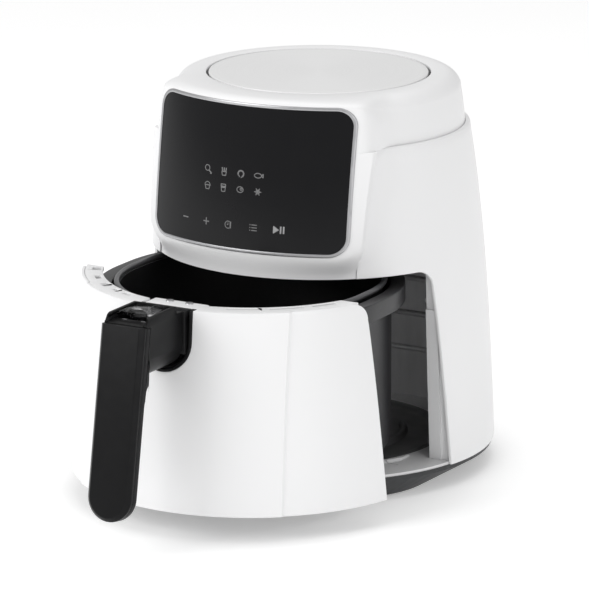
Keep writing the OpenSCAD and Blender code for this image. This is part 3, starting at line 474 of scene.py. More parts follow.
spun, spun_in, spun_out = node_group(
    "turning_lines", [("Lines", "Float", 420)], [("Height", "Float")])
spot = spun.nodes.new("ShaderNodeSeparateXYZ")
spun.links.new(spun.nodes.new("ShaderNodeTexCoord").outputs["Object"], spot.inputs[0])
squares = [calculate(spun, "POWER", calculate(spun, "ABSOLUTE", spot.outputs[a], 0), 2) for a in "XY"]
reach = calculate(spun, "SQRT", calculate(spun, "ADD", *squares), 0)
lines = spun.nodes.new("ShaderNodeTexNoise")
lines.noise_dimensions = "1D"
lines.inputs["Detail"].default_value = 4
spun.links.new(reach, lines.inputs["W"])
spun.links.new(spun_in["Lines"], lines.inputs["Scale"])
spun.links.new(lines.outputs["Fac"], spun_out["Height"])

disc_metal, tree, inputs = new_material("spun_lacquered_disc")
circles = place_group(tree, spun, Lines=700)
ringed = mix_colour(tree, circles["Height"], (0.80, 0.80, 0.80, 1), (0.88, 0.88, 0.88, 1))
tree.links.new(ringed, inputs["Base Color"])
ring_gloss = calculate(tree, "MULTIPLY", circles["Height"], 0.2)
tree.links.new(calculate(tree, "ADD", ring_gloss, 0.24), inputs["Roughness"])
inputs["Metallic"].default_value = 0.15
inputs["Anisotropic"].default_value = 0.5
bump(tree, circles["Height"], 0.12, 0.0002, inputs)
top_disc = fit_piece(disc, "lid_disc", "housing", disc_metal)
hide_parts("top_disc")

RING_IN = 81.7
RING_OUT = 83
RING_TOP = 293.4
ring_line = [(RING_IN, DISC_FOOT), (RING_OUT, DISC_FOOT), (RING_OUT, RING_TOP - 0.5),
             (RING_OUT - 0.3, RING_TOP), (RING_IN + 0.3, RING_TOP), (RING_IN, RING_TOP - 0.5)]
# The ring's near-black colour is painted shade: it stands in for the shadow in the groove round the disc.
groove_shade_black = plastic("groove_painted_shade_plastic", (0.045, 0.045, 0.048), (0.035, 0.035, 0.037), 0.5)
disc_ring = fit_piece(turned(ring_line), "lid_shadow_ring", "housing", groove_shade_black)
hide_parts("disc_ring")

# ---- Control panel ----
# A curved sheet of black-backed glass in a satin chrome trim. The symbols are printed on the
# inside of the glass in grey, with the start and pause sign a little brighter.


def rounded(x0, x1, y0, y1, radius, count=10):
    corners = ((x1 - radius, y0 + radius, -90), (x1 - radius, y1 - radius, 0),
               (x0 + radius, y1 - radius, 90), (x0 + radius, y0 + radius, 180))
    return [p for cx, cy, start in corners for p in arc(cx, cy, radius, start, start + 90, count)]


def panel_plate(grow):
    return slab(rounded(-PANEL_HALF - grow, PANEL_HALF + grow, PANEL_FOOT - grow, PANEL_TOP + grow,
                        PANEL_CORNER + grow), -FAR, -40, "Y")


def panel_band(outwards, inwards):
    levels = heights(PANEL_FOOT - 1, PANEL_TOP + 1, 20)
    front = [(panel_radius(z) + PANEL_CENTRE_BACK + outwards, z) for z in levels]
    back = [(panel_radius(z) + PANEL_CENTRE_BACK - inwards, z) for z in levels]
    band = turned(front + back[::-1])
    bmesh.ops.translate(band, verts=band.verts, vec=(0, PANEL_CENTRE_BACK, 0))
    return band


TRIM_WIDTH = 2.4
glass = cut(panel_band(0, 2), panel_plate(-TRIM_WIDTH - 0.05), how="INTERSECT")
black_glass, tree, inputs = new_material("black_backed_glass")
skin = place_group(tree, grain, Colour=(0.006, 0.006, 0.007, 1), Darker=(0.004, 0.004, 0.005, 1),
                   Roughness=0.16, Gloss_change=0.04, Grain_size=300)
film = place_group(tree, dust, Colour=skin["Colour"], Roughness=skin["Roughness"], Amount=0.02)
tree.links.new(film["Colour"], inputs["Base Color"])
tree.links.new(film["Roughness"], inputs["Roughness"])
inputs["Specular IOR Level"].default_value = 0.2
control_panel = fit_piece(glass, "panel_glass_sheet", "housing", black_glass)
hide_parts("control_panel")

trim = cut(panel_band(0.35, 2), panel_plate(0), how="INTERSECT")
trim = cut(trim, panel_plate(-TRIM_WIDTH))
satin_chrome, tree, inputs = new_material("satin_chrome")
streaks = noise(tree, 260, 4, stretch=(1, 1, 0.15))
streaked = mix_colour(tree, streaks, (0.42, 0.42, 0.43, 1), (0.52, 0.52, 0.53, 1))
tree.links.new(streaked, inputs["Base Color"])
streak_gloss = calculate(tree, "MULTIPLY", streaks, 0.12)
tree.links.new(calculate(tree, "ADD", streak_gloss, 0.3), inputs["Roughness"])
inputs["Metallic"].default_value = 1
trim = soften(trim, 0.35, angle=50, merge=0.05)
panel_trim = fit_piece(trim, "panel_chrome_trim", "housing", satin_chrome, crease=50)
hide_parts("panel_trim")

PRINT_DEPTH = 0.12
LINE = 0.62


def bar(bm, x0, z0, x1, z1, width=LINE):
    """A printed line between two points."""
    length = math.dist((x0, z0), (x1, z1))
    middle = Matrix.Translation(((x0 + x1) / 2, 0, (z0 + z1) / 2))
    turn = Matrix.Rotation(-math.atan2(z1 - z0, x1 - x0), 4, "Y")
    bmesh.ops.create_cube(bm, size=1, matrix=middle @ turn @ Matrix.Diagonal((length, PRINT_DEPTH, width, 1)))


def bars(bm, x, z, *strokes):
    """Thin lines given by their ends, measured from the sign's middle."""
    for x0, z0, x1, z1 in strokes:
        bar(bm, x + x0, z + z0, x + x1, z + z1)


def bow(bm, x, z, radius, start, end, count=10, width=LINE, flat=1.0):
    """A printed line that bends round a centre."""
    points = [(px, z + (pz - z) * flat) for px, pz in arc(x, z, radius, start, end, count)]
    for (x0, z0), (x1, z1) in zip(points, points[1:]):
        bar(bm, x0, z0, x1, z1, width)


def fries(bm, x, z):
    for shift in (-1.4, 0, 1.4):
        bar(bm, x + shift, z, x + shift * 1.3, z + 2.9, 0.9)
    bars(bm, x, z, (-2, 0, -1.4, -2.8), (2, 0, 1.4, -2.8), (-1.6, -2.7, 1.6, -2.7), (-2.1, 0, 2.1, 0))


def cup(bm, x, z):
    bars(bm, x, z, (-2.2, 2.6, 2.2, 2.6), (-2, 2.4, -1.5, -2.6), (2, 2.4, 1.5, -2.6),
         (-1.5, -2.6, 1.5, -2.6))
    bar(bm, x - 1.7, z + 0.6, x + 1.7, z + 0.6, 1.6)


def drumstick(bm, x, z):
    bow(bm, x - 0.8, z + 0.9, 2.1, 0, 360, 14)
    bar(bm, x + 0.7, z - 0.6, x + 2.3, z - 2.2, 0.9)
    bow(bm, x + 2.6, z - 2.5, 0.6, 0, 360, 8)


def fish(bm, x, z):
    bow(bm, x - 0.5, z, 2.8, 0, 360, 16, flat=0.6)
    bars(bm, x, z, (2.2, 0, 3.6, 1.4), (2.2, 0, 3.6, -1.4), (3.6, 1.4, 3.6, -1.4))


def prawn(bm, x, z):
    bow(bm, x, z, 2.3, -60, 200, 12, 1.1)
    bars(bm, x, z, (-2.1, -0.9, -0.6, -2.3), (1.1, -2, 0.2, -2.9))


def steak(bm, x, z):
    bow(bm, x, z + 0.3, 2.6, 0, 360, 16, flat=0.8)
    bow(bm, x + 0.8, z + 0.6, 0.8, 0, 360, 8)


def cupcake(bm, x, z):
    bow(bm, x, z + 0.2, 2.4, 0, 180, 10)
    bars(bm, x, z, (-2.6, 0.2, 2.6, 0.2), (-2, 0, -1.4, -2.6), (2, 0, 1.4, -2.6),
         (-1.4, -2.6, 1.4, -2.6))


def frost(bm, x, z):
    for a in (0, 60, 120):
        dx = 2.8 * math.cos(math.radians(a))
        dz = 2.8 * math.sin(math.radians(a))
        bar(bm, x - dx, z - dz, x + dx, z + dz)
    bow(bm, x, z, 1.4, 0, 360, 12)


def minus(bm, x, z):
    bar(bm, x - 2.6, z, x + 2.6, z, 0.85)


def plus(bm, x, z):
    minus(bm, x, z)
    bar(bm, x, z - 2.6, x, z + 2.6, 0.85)


def heat_and_time(bm, x, z):
    bow(bm, x - 0.6, z, 2.6, 60, 300, 12)
    bar(bm, x + 1.4, z - 2.4, x + 1.4, z + 2.4, 1.1)
    bars(bm, x, z, (-0.6, 0, -0.6, 1.6), (-0.6, 0, -1.6, 0))


def programme_list(bm, x, z):
    for shift in (-2, 0, 2):
        bar(bm, x - 2.9, z + shift, x - 2.2, z + shift, 0.8)
        bar(bm, x - 1.4, z + shift, x + 2.9, z + shift, 0.7)


def start_pause(bm, x, z):
    for step in range(5):
        height = 2.6 - step * 0.55
        bar(bm, x - 3.6 + step * 0.8, z - height, x - 3.6 + step * 0.8, z + height, 0.9)
    bar(bm, x + 1.5, z - 2.6, x + 1.5, z + 2.6, 1.1)
    bar(bm, x + 3.7, z - 2.6, x + 3.7, z + 2.6, 1.1)


def print_symbols(name, grey, signs):
    """Prints signs, each given with its place on the glass, and lays them on the curve."""
    bm = bmesh.new()
    for sign, x, z in signs:
        sign(bm, x, z)
    for v in bm.verts:
        face = panel_radius(v.co.z) + PANEL_CENTRE_BACK + 0.04
        v.co.y += PANEL_CENTRE_BACK - math.sqrt(face ** 2 - v.co.x ** 2)
    ink, ink_tree, ink_inputs = new_material(name + "_ink")
    speckle = noise(ink_tree, 2500, 2)
    tone = mix_colour(ink_tree, speckle, (grey, grey, grey, 1), (grey * 0.7, grey * 0.7, grey * 0.72, 1))
    ink_tree.links.new(tone, ink_inputs["Base Color"])
    ink_inputs["Roughness"].default_value = 0.5
    return fit_piece(bm, name, "housing", ink)


FOOD_X = -26.6
FOOD_PITCH = 14.2
KEY_X = -46.2
KEY_Z = 202.8
KEY_PITCH = 20
signs = []
for z, row in ((240.6, (drumstick, fries, prawn, fish)), (228.9, (cupcake, cup, steak, frost))):
    signs += [(sign, FOOD_X + FOOD_PITCH * i, z) for i, sign in enumerate(row)]
keys = (minus, plus, heat_and_time, programme_list)
signs += [(sign, KEY_X + KEY_PITCH * i, KEY_Z) for i, sign in enumerate(keys)]
print_symbols("panel_symbols", 0.2, signs)
print_symbols("panel_start_symbol", 0.42, [(start_pause, KEY_X + 79.4, KEY_Z)])

# ---- Drawer front ----
# A white moulding in the body's curve. The middle stands a little proud between two upright
# creases, and a U-shaped cut in its top edge takes the handle's socket.
DRAWER_FOOT = 18.2
DRAWER_WALL = 2.2
DRAWER_PROUD = 1.3
DRAWER_GAP = 1.2
CREASE_X = 83.5
RIM_TOP = 165.3
SOCKET_R = 22.5
SOCKET_Z = 142.1
CREASE_COLUMNS = (40.5, 42)


def stand_proud(bm):
    """Moves the turned shape's middle out by the drawer's step, with its columns on the creases."""
    for v in bm.verts:
        r = math.hypot(v.co.x, v.co.y)
        turned_by = math.degrees(math.atan2(v.co.x, -v.co.y))
        marks = [math.degrees(math.asin(min(1, x / r))) for x in (CREASE_X - 0.7, CREASE_X + 0.7)]
        real = (0, *marks, 180)
        drawn = (0, *CREASE_COLUMNS, 180)
        for i in range(3):
            if drawn[i] - 0.1 <= abs(turned_by) <= drawn[i + 1] + 0.1:
                share = (abs(turned_by) - drawn[i]) / (drawn[i + 1] - drawn[i])
                angle = math.copysign(real[i] + (real[i + 1] - real[i]) * share, turned_by)
                break
        r += DRAWER_PROUD * (1 - smooth(0.1, 0.9, (abs(turned_by) - drawn[1]) / 1.5))
        v.co.x = r * math.sin(math.radians(angle))
        v.co.y = -r * math.cos(math.radians(angle))


def socket_outline(grow):
    r = SOCKET_R + grow
    return [*arc(0, SOCKET_Z, r, 180, 360, 24), (r, FAR), (-r, FAR)]


front_levels = heights(DRAWER_FOOT, RIM_TOP, 36)
front_outline = [(shell_radius(z), z) for z in front_levels]
front_outline += [(shell_radius(z) - DRAWER_WALL, z) for z in front_levels[::-1]]
front = turned(front_outline)
stand_proud(front)
side_view = slab(opening_side(DRAWER_GAP, OPENING_CORNER - 1), -FAR, FAR, "X")
front = cut(front, side_view, how="INTERSECT")
front = cut(front, slab(socket_outline(0.1), -FAR, 0, "Y"))
front = soften(front, 0.5, angle=50)
drawer_front = fit_piece(front, "drawer_front_skin", "drawer", white_gloss, crease=22)
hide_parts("drawer_front")

# ---- Drawer rim ----
# A white moulded plate with a skirt, screwed behind the top of the drawer's front. The long arc
# slots on its right let steam out; those on its left are shorter, and two of them lie radially.
RIM_R = 121.87
RIM_PLATE = 3
RIM_SKIRT = 12
RIM_INSIDE = 108.8
RIM_END = -46
SLOT_R = 113.6
SLOT_WIDTH = 3


def arc_slot(radius, width, start, end):
    """An upright cutter along an arc, from one angle off the front to another."""
    outer = arc(0, 0, radius + width / 2, start - 90, end - 90, 10)
    inner = arc(0, 0, radius - width / 2, start - 90, end - 90, 10)
    return slab(outer + inner[::-1], RIM_TOP - 15, RIM_TOP + 5, "Z")


plate_foot = RIM_TOP - RIM_PLATE
skirt_foot = RIM_TOP - RIM_SKIRT
rim_section = [(70, RIM_TOP), (RIM_R, RIM_TOP), (RIM_R, skirt_foot), (RIM_R - 2, skirt_foot),
               (RIM_R - 2, plate_foot), (70, plate_foot)]
step_r = RIM_R + DRAWER_PROUD
step_section = [(118, RIM_TOP), (step_r, RIM_TOP), (step_r, plate_foot), (118, plate_foot)]
step = cut(turned(step_section), box(-CREASE_X, CREASE_X, -FAR, 0, 0, FAR), how="INTERSECT")
rim = cut(turned(rim_section), step, how="UNION")
slots = [arc_slot(SLOT_R, SLOT_WIDTH, *ends) for ends in ((20.6, 32.9), (35.9, 48.5), (51.6, 61))]
slots += [arc_slot(SLOT_R, SLOT_WIDTH, -a - 4, -a) for a in (20, 27)]
slots += [arc_slot(SLOT_R, 6.5, -a - 1.5, -a) for a in (35.8, 38.6)]
slots += [arc_slot(SLOT_R, 4, -52, -47), arc_slot(SLOT_R, 6, -64, -60)]
bay = slab(arc(0, 0, RIM_INSIDE, 0, 357, 119), 100, FAR, "Z")
behind = box(-FAR, FAR, RIM_END, FAR, 0, FAR)
rim = cut(rim, bay, behind, slab(socket_outline(0.1), -FAR, 0, "Y"), *slots)
rim = soften(rim, 0.5, angle=50)
drawer_rim = fit_piece(rim, "drawer_rim_plate", "drawer", white_gloss)
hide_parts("drawer_rim")

# ---- Pan ----
# The drawer's deep pan: one steel pressing with a baked non-stick coating. Its rolled-over
# flange slides on the liner's upper beads, and a bracket ties it to the drawer's front.
PAN_FRONT = 103
PAN_SIDE = 99
PAN_CORNER = 92


def swept(profile, half_x, front, back, corner):
    """A dish: a profile of (outward, height) points carried once round a rounded rectangle."""
    x = half_x - corner
    y0 = corner - front
    y1 = back - corner
    bm = bmesh.new()
    points = [bm.verts.new((x, y0 - r, z)) for r, z in profile]
    last = points + [bm.edges.new(pair) for pair in zip(points, points[1:])]
    runs = (((x, y0, 0), (0, y1 - y0, 0)), ((x, y1, 0), (-2 * x, 0, 0)),
            ((-x, y1, 0), (0, y0 - y1, 0)), ((-x, y0, 0), (2 * x, 0, 0)))
    for centre, travel in runs:
        last = bmesh.ops.spin(bm, geom=last, cent=centre, axis=(0, 0, 1), angle=math.radians(90),
                              steps=24)["geom_last"]
        last = bmesh.ops.spin(bm, geom=last, cent=(0, 0, 0), axis=(0, 0, 1), angle=0, dvec=travel,
                              steps=1)["geom_last"]
    bmesh.ops.remove_doubles(bm, verts=bm.verts, dist=1e-3)
    bmesh.ops.holes_fill(bm, edges=[e for e in bm.edges if e.is_boundary], sides=4)
    bmesh.ops.recalc_face_normals(bm, faces=bm.faces)
    return bm


def coated(name, colour, spark, roughness):
    """Baked non-stick coating: dark, with a fine pale fleck and an uneven gloss."""
    material, tree, inputs = new_material(name)
    skin = place_group(tree, grain, Colour=(*colour, 1), Darker=(*[c * 0.8 for c in colour], 1),
                       Roughness=roughness, Gloss_change=0.12, Grain_size=1500)
    peaks = calculate(tree, "SUBTRACT", noise(tree, 1400, 2), 0.62)
    fleck = calculate(tree, "MULTIPLY", peaks, 6, clamp=True)
    speckled = mix_colour(tree, fleck, skin["Colour"], (*spark, 1))
    film = place_group(tree, dust, Colour=speckled, Roughness=skin["Roughness"], Amount=0.02)
    tree.links.new(film["Colour"], inputs["Base Color"])
    tree.links.new(film["Roughness"], inputs["Roughness"])
    bump(tree, skin["Height"], 0.08, 0.0002, inputs)
    return material


non_stick = coated("non_stick_coating", (0.022, 0.022, 0.024), (0.06, 0.06, 0.065), 0.36)
outside = [(0, 25), *arc(72, 45, 20, -90, 0, 12), (PAN_CORNER, 60), (PAN_CORNER, 110), (PAN_CORNER, 154)]
flange = [*arc(93.5, 154, 1.5, 180, 90, 4), (100.4, 155.5), (100.8, 155.1), (100.8, 143.7), (101.4, 143.3),
          (102, 143.7), (102, 155.9), *arc(101.2, 155.9, 0.8, 0, 90, 4), (93.2, 156.7),
          *arc(93.2, 154.3, 2.4, 90, 180, 5)]
inside = [(90.8, 110), (90.8, 60), *arc(72, 45, 18.8, 0, -90, 12), (0, 26.2)]
pan = swept(outside + flange + inside, PAN_SIDE, PAN_FRONT, PAN_SIDE, PAN_CORNER)
socket_room = box(-30, 30, -FAR, -PAN_FRONT - 0.6, 130, FAR)
pan = fit_piece(cut(pan, socket_room), "pan_pressing", "drawer", non_stick, crease=45)
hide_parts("pan")

# ---- Basket ----
# A pressed steel basket with the same coating, holes through its floor for the hot air, and a
# rim rolled outwards, coloured paler there as a painted sheen. A bridge at its front is riveted on.
BASKET_FRONT = 98
BASKET_SIDE = 93.5
BASKET_CORNER = 88
BASKET_FLOOR = 32
ROLL_FOOT = 156.4
outside = [(0, BASKET_FLOOR), *arc(76, 44, 12, -90, 0, 10), (BASKET_CORNER, 60), (BASKET_CORNER, 110)]
roll = arc(88.9, 158.6, 2.1, 245, -60, 16)
inside = [(86.8, 156.2), (86.8, 110), (86.8, 60), *arc(76, 44, 10.8, 0, -90, 10), (0, 33.2)]
HOLE_PITCH = 15
HOLE_R = 2.6
HOLE_FIELD = 66
holes = bmesh.new()
for i in range(-4, 5):
    for j in range(-4, 5):
        if math.hypot(i, j) * HOLE_PITCH < HOLE_FIELD:
            spot = Matrix.Translation((i * HOLE_PITCH, j * HOLE_PITCH + 7, BASKET_FLOOR))
            bmesh.ops.create_cone(holes, segments=20, radius1=HOLE_R, radius2=HOLE_R, depth=10, cap_ends=True,
                                  matrix=spot)
basket_coat = coated("basket_coating", (0.014, 0.014, 0.015), (0.045, 0.045, 0.05), 0.4)
basket = swept(outside + roll + inside, BASKET_SIDE, BASKET_FRONT, BASKET_SIDE, BASKET_CORNER)
basket = fit_piece(cut(basket, holes), "basket_pressing", "basket", basket_coat, crease=45)
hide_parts("basket")
# The rolled rim's paler coating colour is a painted sheen, given to the faces above the roll's foot.
rim_painted_sheen = coated("rolled_rim_painted_sheen", (0.09, 0.09, 0.095), (0.16, 0.16, 0.165), 0.3)
basket.data.materials.append(rim_painted_sheen)
for face in basket.data.polygons:
    if face.center.z > ROLL_FOOT / 1000:
        face.material_index = 1

# ---- Handle socket and basket bracket ----
# The socket is a black U-shaped moulding in the notch of the drawer's front, with a second step
# inside it. The bracket fills it from the basket's side: a thin white bridge over a black block.
SOCKET_BACK = -106
SOCKET_STEP = -3.6
BRIDGE_FRONT = -117.2
BRIDGE_TOP = 164.1
BRIDGE_FOOT = 160.8


def metal(name, colour, darker, roughness, stretch=(1, 1, 1), scale=220, spark=0.0, metallic=1.0):
    """Sheet, wire or turned steel: streaks or mottle in tone and gloss, and a slight height."""
    material, tree, inputs = new_material(name)
    streak = noise(tree, scale, 4, stretch=stretch)
    tone = mix_colour(tree, streak, (*colour, 1), (*darker, 1))
    gloss = calculate(tree, "ADD", calculate(tree, "MULTIPLY", streak, 0.16), roughness)
    film = place_group(tree, dust, Colour=tone, Amount=0.05, Roughness=gloss)
    # Convex edges lightened by the spark amount: part wear, part painted glint.
    edge = place_group(tree, wear_and_highlight, Colour=film["Colour"], Worn=(0.8, 0.8, 0.8, 1), Amount=spark)
    tree.links.new(edge["Colour"], inputs["Base Color"])
    tree.links.new(film["Roughness"], inputs["Roughness"])
    inputs["Metallic"].default_value = metallic
    bump(tree, streak, 0.08, 0.0002, inputs)
    return material


def core(grow, low, high):
    """The body's solid form between two heights, grown outwards."""
    levels = heights(low, high, 8)
    return turned([(0, low), *[(shell_radius(z) + grow, z) for z in levels], (0, high)], closed=False)


socket = cut(slab(socket_outline(0), -FAR, SOCKET_BACK, "Y"), core(DRAWER_PROUD + 0.8, 100, RIM_TOP),
             how="INTERSECT")
front_step = cut(slab(socket_outline(-2), -FAR, 0, "Y"), core(-1.5, 90, 190))
over_bridge = box(-FAR, FAR, BRIDGE_FRONT - 0.3, 0, BRIDGE_FOOT - 0.3, FAR)
socket = cut(socket, front_step, slab(socket_outline(SOCKET_STEP), -FAR, 0, "Y"), over_bridge)
black_plastic = plastic("black_handle_plastic", (0.0075, 0.0075, 0.008), (0.006, 0.006, 0.0065), 0.34,
                        change=0.1, size=1600, height=0.1, dirt=0.01, rub_and_highlight_amount=0.6,
                        worn_and_lit_colour=(0.07, 0.07, 0.072, 1), shine=0.1)
socket = soften(socket, 0.4, angle=50)
handle_socket = fit_piece(socket, "socket_moulding", "drawer", black_plastic)
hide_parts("handle_socket")

BRIDGE_HALF = 22.1
BLOCK_HALF = 18.5
BLOCK_FOOT = 134
RIVET_Y = -103.5
bridge = box(-BRIDGE_HALF, BRIDGE_HALF, BRIDGE_FRONT, -99.5, BRIDGE_FOOT, BRIDGE_TOP)
bridge = fit_piece(soften(bridge, 0.6), "bracket_bridge", "basket", white_gloss)
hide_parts("basket_bracket")
block_front = -(shell_radius(150) + DRAWER_PROUD + 1)
block = box(-BLOCK_HALF, BLOCK_HALF, block_front, -108.5, BLOCK_FOOT, BRIDGE_FOOT - 0.1)
nose = box(-BLOCK_HALF, BLOCK_HALF, block_front, BRIDGE_FRONT - 0.2, BLOCK_FOOT, RIM_TOP - 0.1)
block = cut(block, nose, how="UNION")
block = cut(block, box(-5, 5, -FAR, -110.5, 0, BRIDGE_FOOT - 1.2))
fit_piece(soften(block, 0.6), "bracket_block", "basket", black_plastic)

tab = box(-19, 19, -107, -98.6, 157.6, BRIDGE_FOOT - 0.1)
fit_piece(soften(tab, 0.5), "basket_tab", "basket", basket_coat)
rivets = bmesh.new()
for x in (-8, 8):
    for z, radius, height in ((BRIDGE_TOP + 0.4, 3, 0.8), (160, 1.8, 8), (157.2, 2.6, 0.7)):
        bmesh.ops.create_cone(rivets, segments=32, radius1=radius, radius2=radius * 0.9, depth=height,
                              cap_ends=True, matrix=Matrix.Translation((x, RIVET_Y, z)))
rivet_steel = metal("riveted_steel", (0.62, 0.62, 0.63), (0.5, 0.5, 0.51), 0.28, scale=500)
bracket_rivets = fit_piece(rivets, "bracket_rivet_pair", "basket", rivet_steel)
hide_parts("bracket_rivets")

# ---- Pan bracket ----
# A folded zinc-plated channel between the pan's front wall and the bosses inside the drawer's
# front, where four screws hold it.
CHANNEL_FRONT = -(shell_radius(98) + DRAWER_PROUD - DRAWER_WALL - 7)
CHANNEL_FOOT = 46
CHANNEL_TOP = 108
CHANNEL_HALF = 19
pan_face = -PAN_FRONT - 0.1
boss_face = CHANNEL_FRONT + 0.1
wall = box(-CHANNEL_HALF, CHANNEL_HALF, pan_face - 1.9, pan_face, CHANNEL_FOOT, CHANNEL_TOP)
sides = mirrored(box(CHANNEL_HALF - 2, CHANNEL_HALF, boss_face, pan_face, CHANNEL_FOOT, CHANNEL_TOP))
flanges = mirrored(box(7, CHANNEL_HALF, boss_face, boss_face + 2, CHANNEL_FOOT, CHANNEL_TOP))
channel = cut(wall, sides, flanges, how="UNION")
channel_steel = metal("folded_zinc_steel", (0.58, 0.59, 0.61), (0.46, 0.47, 0.5), 0.36, scale=45)
pan_bracket = fit_piece(soften(channel, 0.4), "pan_channel", "drawer", channel_steel)
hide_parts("pan_bracket")

# ---- Handle ----
# Two black mouldings screwed together: an arm that hooks into the bracket with a recess for the
# release button, and a broad chamfered grip cover that leans outwards and ends in a round tip.
GRIP_TOP = Vector((0, -182.45, 165.5))
GRIP_LENGTH = 138
GRIP_LEAN = 10
GRIP_HALF = 17.5
GRIP_DEPTH = 13
COVER_DEPTH = 5.5
ARM_TOP = 171
ARM_BACK = -136.45
RAIL_WIDTH = 3.2
RECESS_FLOOR = 158
LIP_DEPTH = 18.5
UNDERSIDE_R = 12
BELLY_FOOT = 124.9
ARM_JOIN = -128.1
BUTTON_Y = -149.45
STEM_R = 4


def at_grip(bm):
    """Leans a shape drawn from the grip's tip into its place in front of the drawer."""
    lean = Matrix.Rotation(math.radians(-GRIP_LEAN), 4, "X")
    place = Matrix.Translation(GRIP_TOP) @ lean @ Matrix.Translation((0, 0, -GRIP_LENGTH))
    bmesh.ops.transform(bm, matrix=place, verts=bm.verts)
    return bm


def grip_plate(front, back, front_chamfer, back_chamfer):
    """The grip's outline with its round tip, as a plate with chamfered front and back edges."""
    top = GRIP_LENGTH
    outline = [*arc(0, GRIP_HALF, GRIP_HALF, 180, 360, 32), (GRIP_HALF, top), (-GRIP_HALF, top)]
    bm = slab(outline, front, back, "Y")
    for y, width in ((front, front_chamfer), (back, back_chamfer)):
        if width:
            rim_edges = [e for e in bm.edges if all(abs(v.co.y - y) < 1e-4 for v in e.verts)
                         and not all(abs(v.co.z - top) < 1e-4 for v in e.verts)]
            bmesh.ops.bevel(bm, geom=rim_edges, offset=width, offset_type="OFFSET", segments=1,
                            profile=0.5, affect="EDGES", clamp_overlap=False, material=-1)
    return bm


cover = at_grip(grip_plate(0, COVER_DEPTH, 3, 0))
cover = soften(cover, 0.5, segments=3, angle=25, merge=0.01)
grip_cover = fit_piece(cover, "grip_cover_moulding", "basket", black_plastic)
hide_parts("grip_cover")

front_face = GRIP_TOP.y
back_y = front_face + COVER_DEPTH
ARM_DROP = 55
slope = math.tan(math.radians(GRIP_LEAN)) * ARM_DROP
arm_foot = GRIP_TOP.z - ARM_DROP
bend_y = front_face + 3 + UNDERSIDE_R
arm_line = [(ARM_JOIN, GRIP_TOP.z), (ARM_BACK, GRIP_TOP.z), (ARM_BACK + 1, ARM_TOP - 1.5),
            (ARM_BACK - 1, ARM_TOP), (front_face + 12, ARM_TOP), (front_face + 9, ARM_TOP - 1.2),
            (front_face + 6.4, GRIP_TOP.z + 0.6), (back_y, GRIP_TOP.z), (back_y - slope, arm_foot),
            (front_face + GRIP_DEPTH - 3 - slope, arm_foot),
            *arc(bend_y, BELLY_FOOT - UNDERSIDE_R, UNDERSIDE_R, 180, 90, 8), (ARM_JOIN, BELLY_FOOT)]
arm = slab(arm_line, -GRIP_HALF + 0.3, GRIP_HALF - 0.3, "X")
belly_r = SOCKET_Z - BELLY_FOOT
belly = [*arc(0, SOCKET_Z, belly_r, 180, 360, 32), (belly_r, 190), (-belly_r, 190)]
belly_ends = [(-GRIP_HALF, 60), (GRIP_HALF, 60), (GRIP_HALF, 190), (-GRIP_HALF, 190)]
round_under = cut(slab(belly, -174, -100, "Y"), slab(belly_ends, -FAR, -173.9, "Y"), how="UNION")
arm = cut(arm, round_under, how="INTERSECT")
arm = cut(arm, at_grip(grip_plate(COVER_DEPTH + 0.05, GRIP_DEPTH, 0, 2)), how="UNION")
in_front = at_grip(box(-FAR, FAR, -FAR, COVER_DEPTH + 0.05, -FAR, GRIP_LENGTH + 1))
rail = GRIP_HALF - RAIL_WIDTH
recess_back = ARM_BACK - 2.4
recess = box(-rail, rail, front_face + LIP_DEPTH, recess_back, RECESS_FLOOR, FAR)
lip = box(-rail, rail, front_face, front_face + LIP_DEPTH + 1, GRIP_TOP.z, FAR)
groove = box(-rail - 1.3, rail + 1.3, front_face, recess_back, ARM_TOP - 3.2, ARM_TOP - 1.4)
tunnel = box(-5, 5, -157.95, -100, 145, 157)
stem_hole = slab(circle(0, BUTTON_Y, STEM_R + 0.4), 150, 170, "Z")
arm = cut(arm, in_front, recess, lip, groove, tunnel, stem_hole)
arm = soften(arm, 0.6, angle=40, merge=0.05)
handle_arm = fit_piece(arm, "handle_arm_moulding", "basket", black_plastic)
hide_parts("handle_arm")

# ---- Release button and its guard ----
# A rounded square button with a silver crescent printed at its front edge, under a clear guard
# that slides in the grooves of the handle's rails.
BUTTON_HALF = 9.5
BUTTON_TOP = 167.5
cap = slab(rounded(-BUTTON_HALF, BUTTON_HALF, BUTTON_Y - BUTTON_HALF, BUTTON_Y + BUTTON_HALF, 5, 12),
           BUTTON_TOP - 3.4, BUTTON_TOP, "Z")
hollow = bmesh.new()
bmesh.ops.create_uvsphere(hollow, u_segments=48, v_segments=24, radius=60,
                          matrix=Matrix.Translation((0, BUTTON_Y, BUTTON_TOP + 59.3)))
cap = cut(soften(cap, 0.7, segments=3, merge=0.01), hollow)
stem = slab(circle(0, BUTTON_Y, STEM_R), 153.5, BUTTON_TOP - 3, "Z")
cap = cut(cap, stem, how="UNION")
button_black = plastic("button_plastic", (0.01, 0.01, 0.0105), (0.008, 0.008, 0.0085), 0.18, size=1800,
                       dirt=0.01, rub_and_highlight_amount=0.5, worn_and_lit_colour=(0.07, 0.07, 0.07, 1), shine=0.3)
release_button = fit_piece(cap, "release_button_cap", "button", button_black)
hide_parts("release_button")
crescent = slab(arc(0, BUTTON_Y + 4, 11.4, 220, 320, 16) + arc(0, BUTTON_Y + 4, 10.2, 320, 220, 16),
                BUTTON_TOP - 0.35, BUTTON_TOP - 0.12, "Z")
silver_ink, tree, inputs = new_material("silver_ink")
tree.links.new(mix_colour(tree, noise(tree, 2500, 2), (0.62, 0.62, 0.63, 1), (0.5, 0.5, 0.51, 1)),
               inputs["Base Color"])
inputs["Metallic"].default_value = 0.6
inputs["Roughness"].default_value = 0.35
fit_piece(crescent, "button_crescent", "button", silver_ink)
dash_pair = bmesh.new()
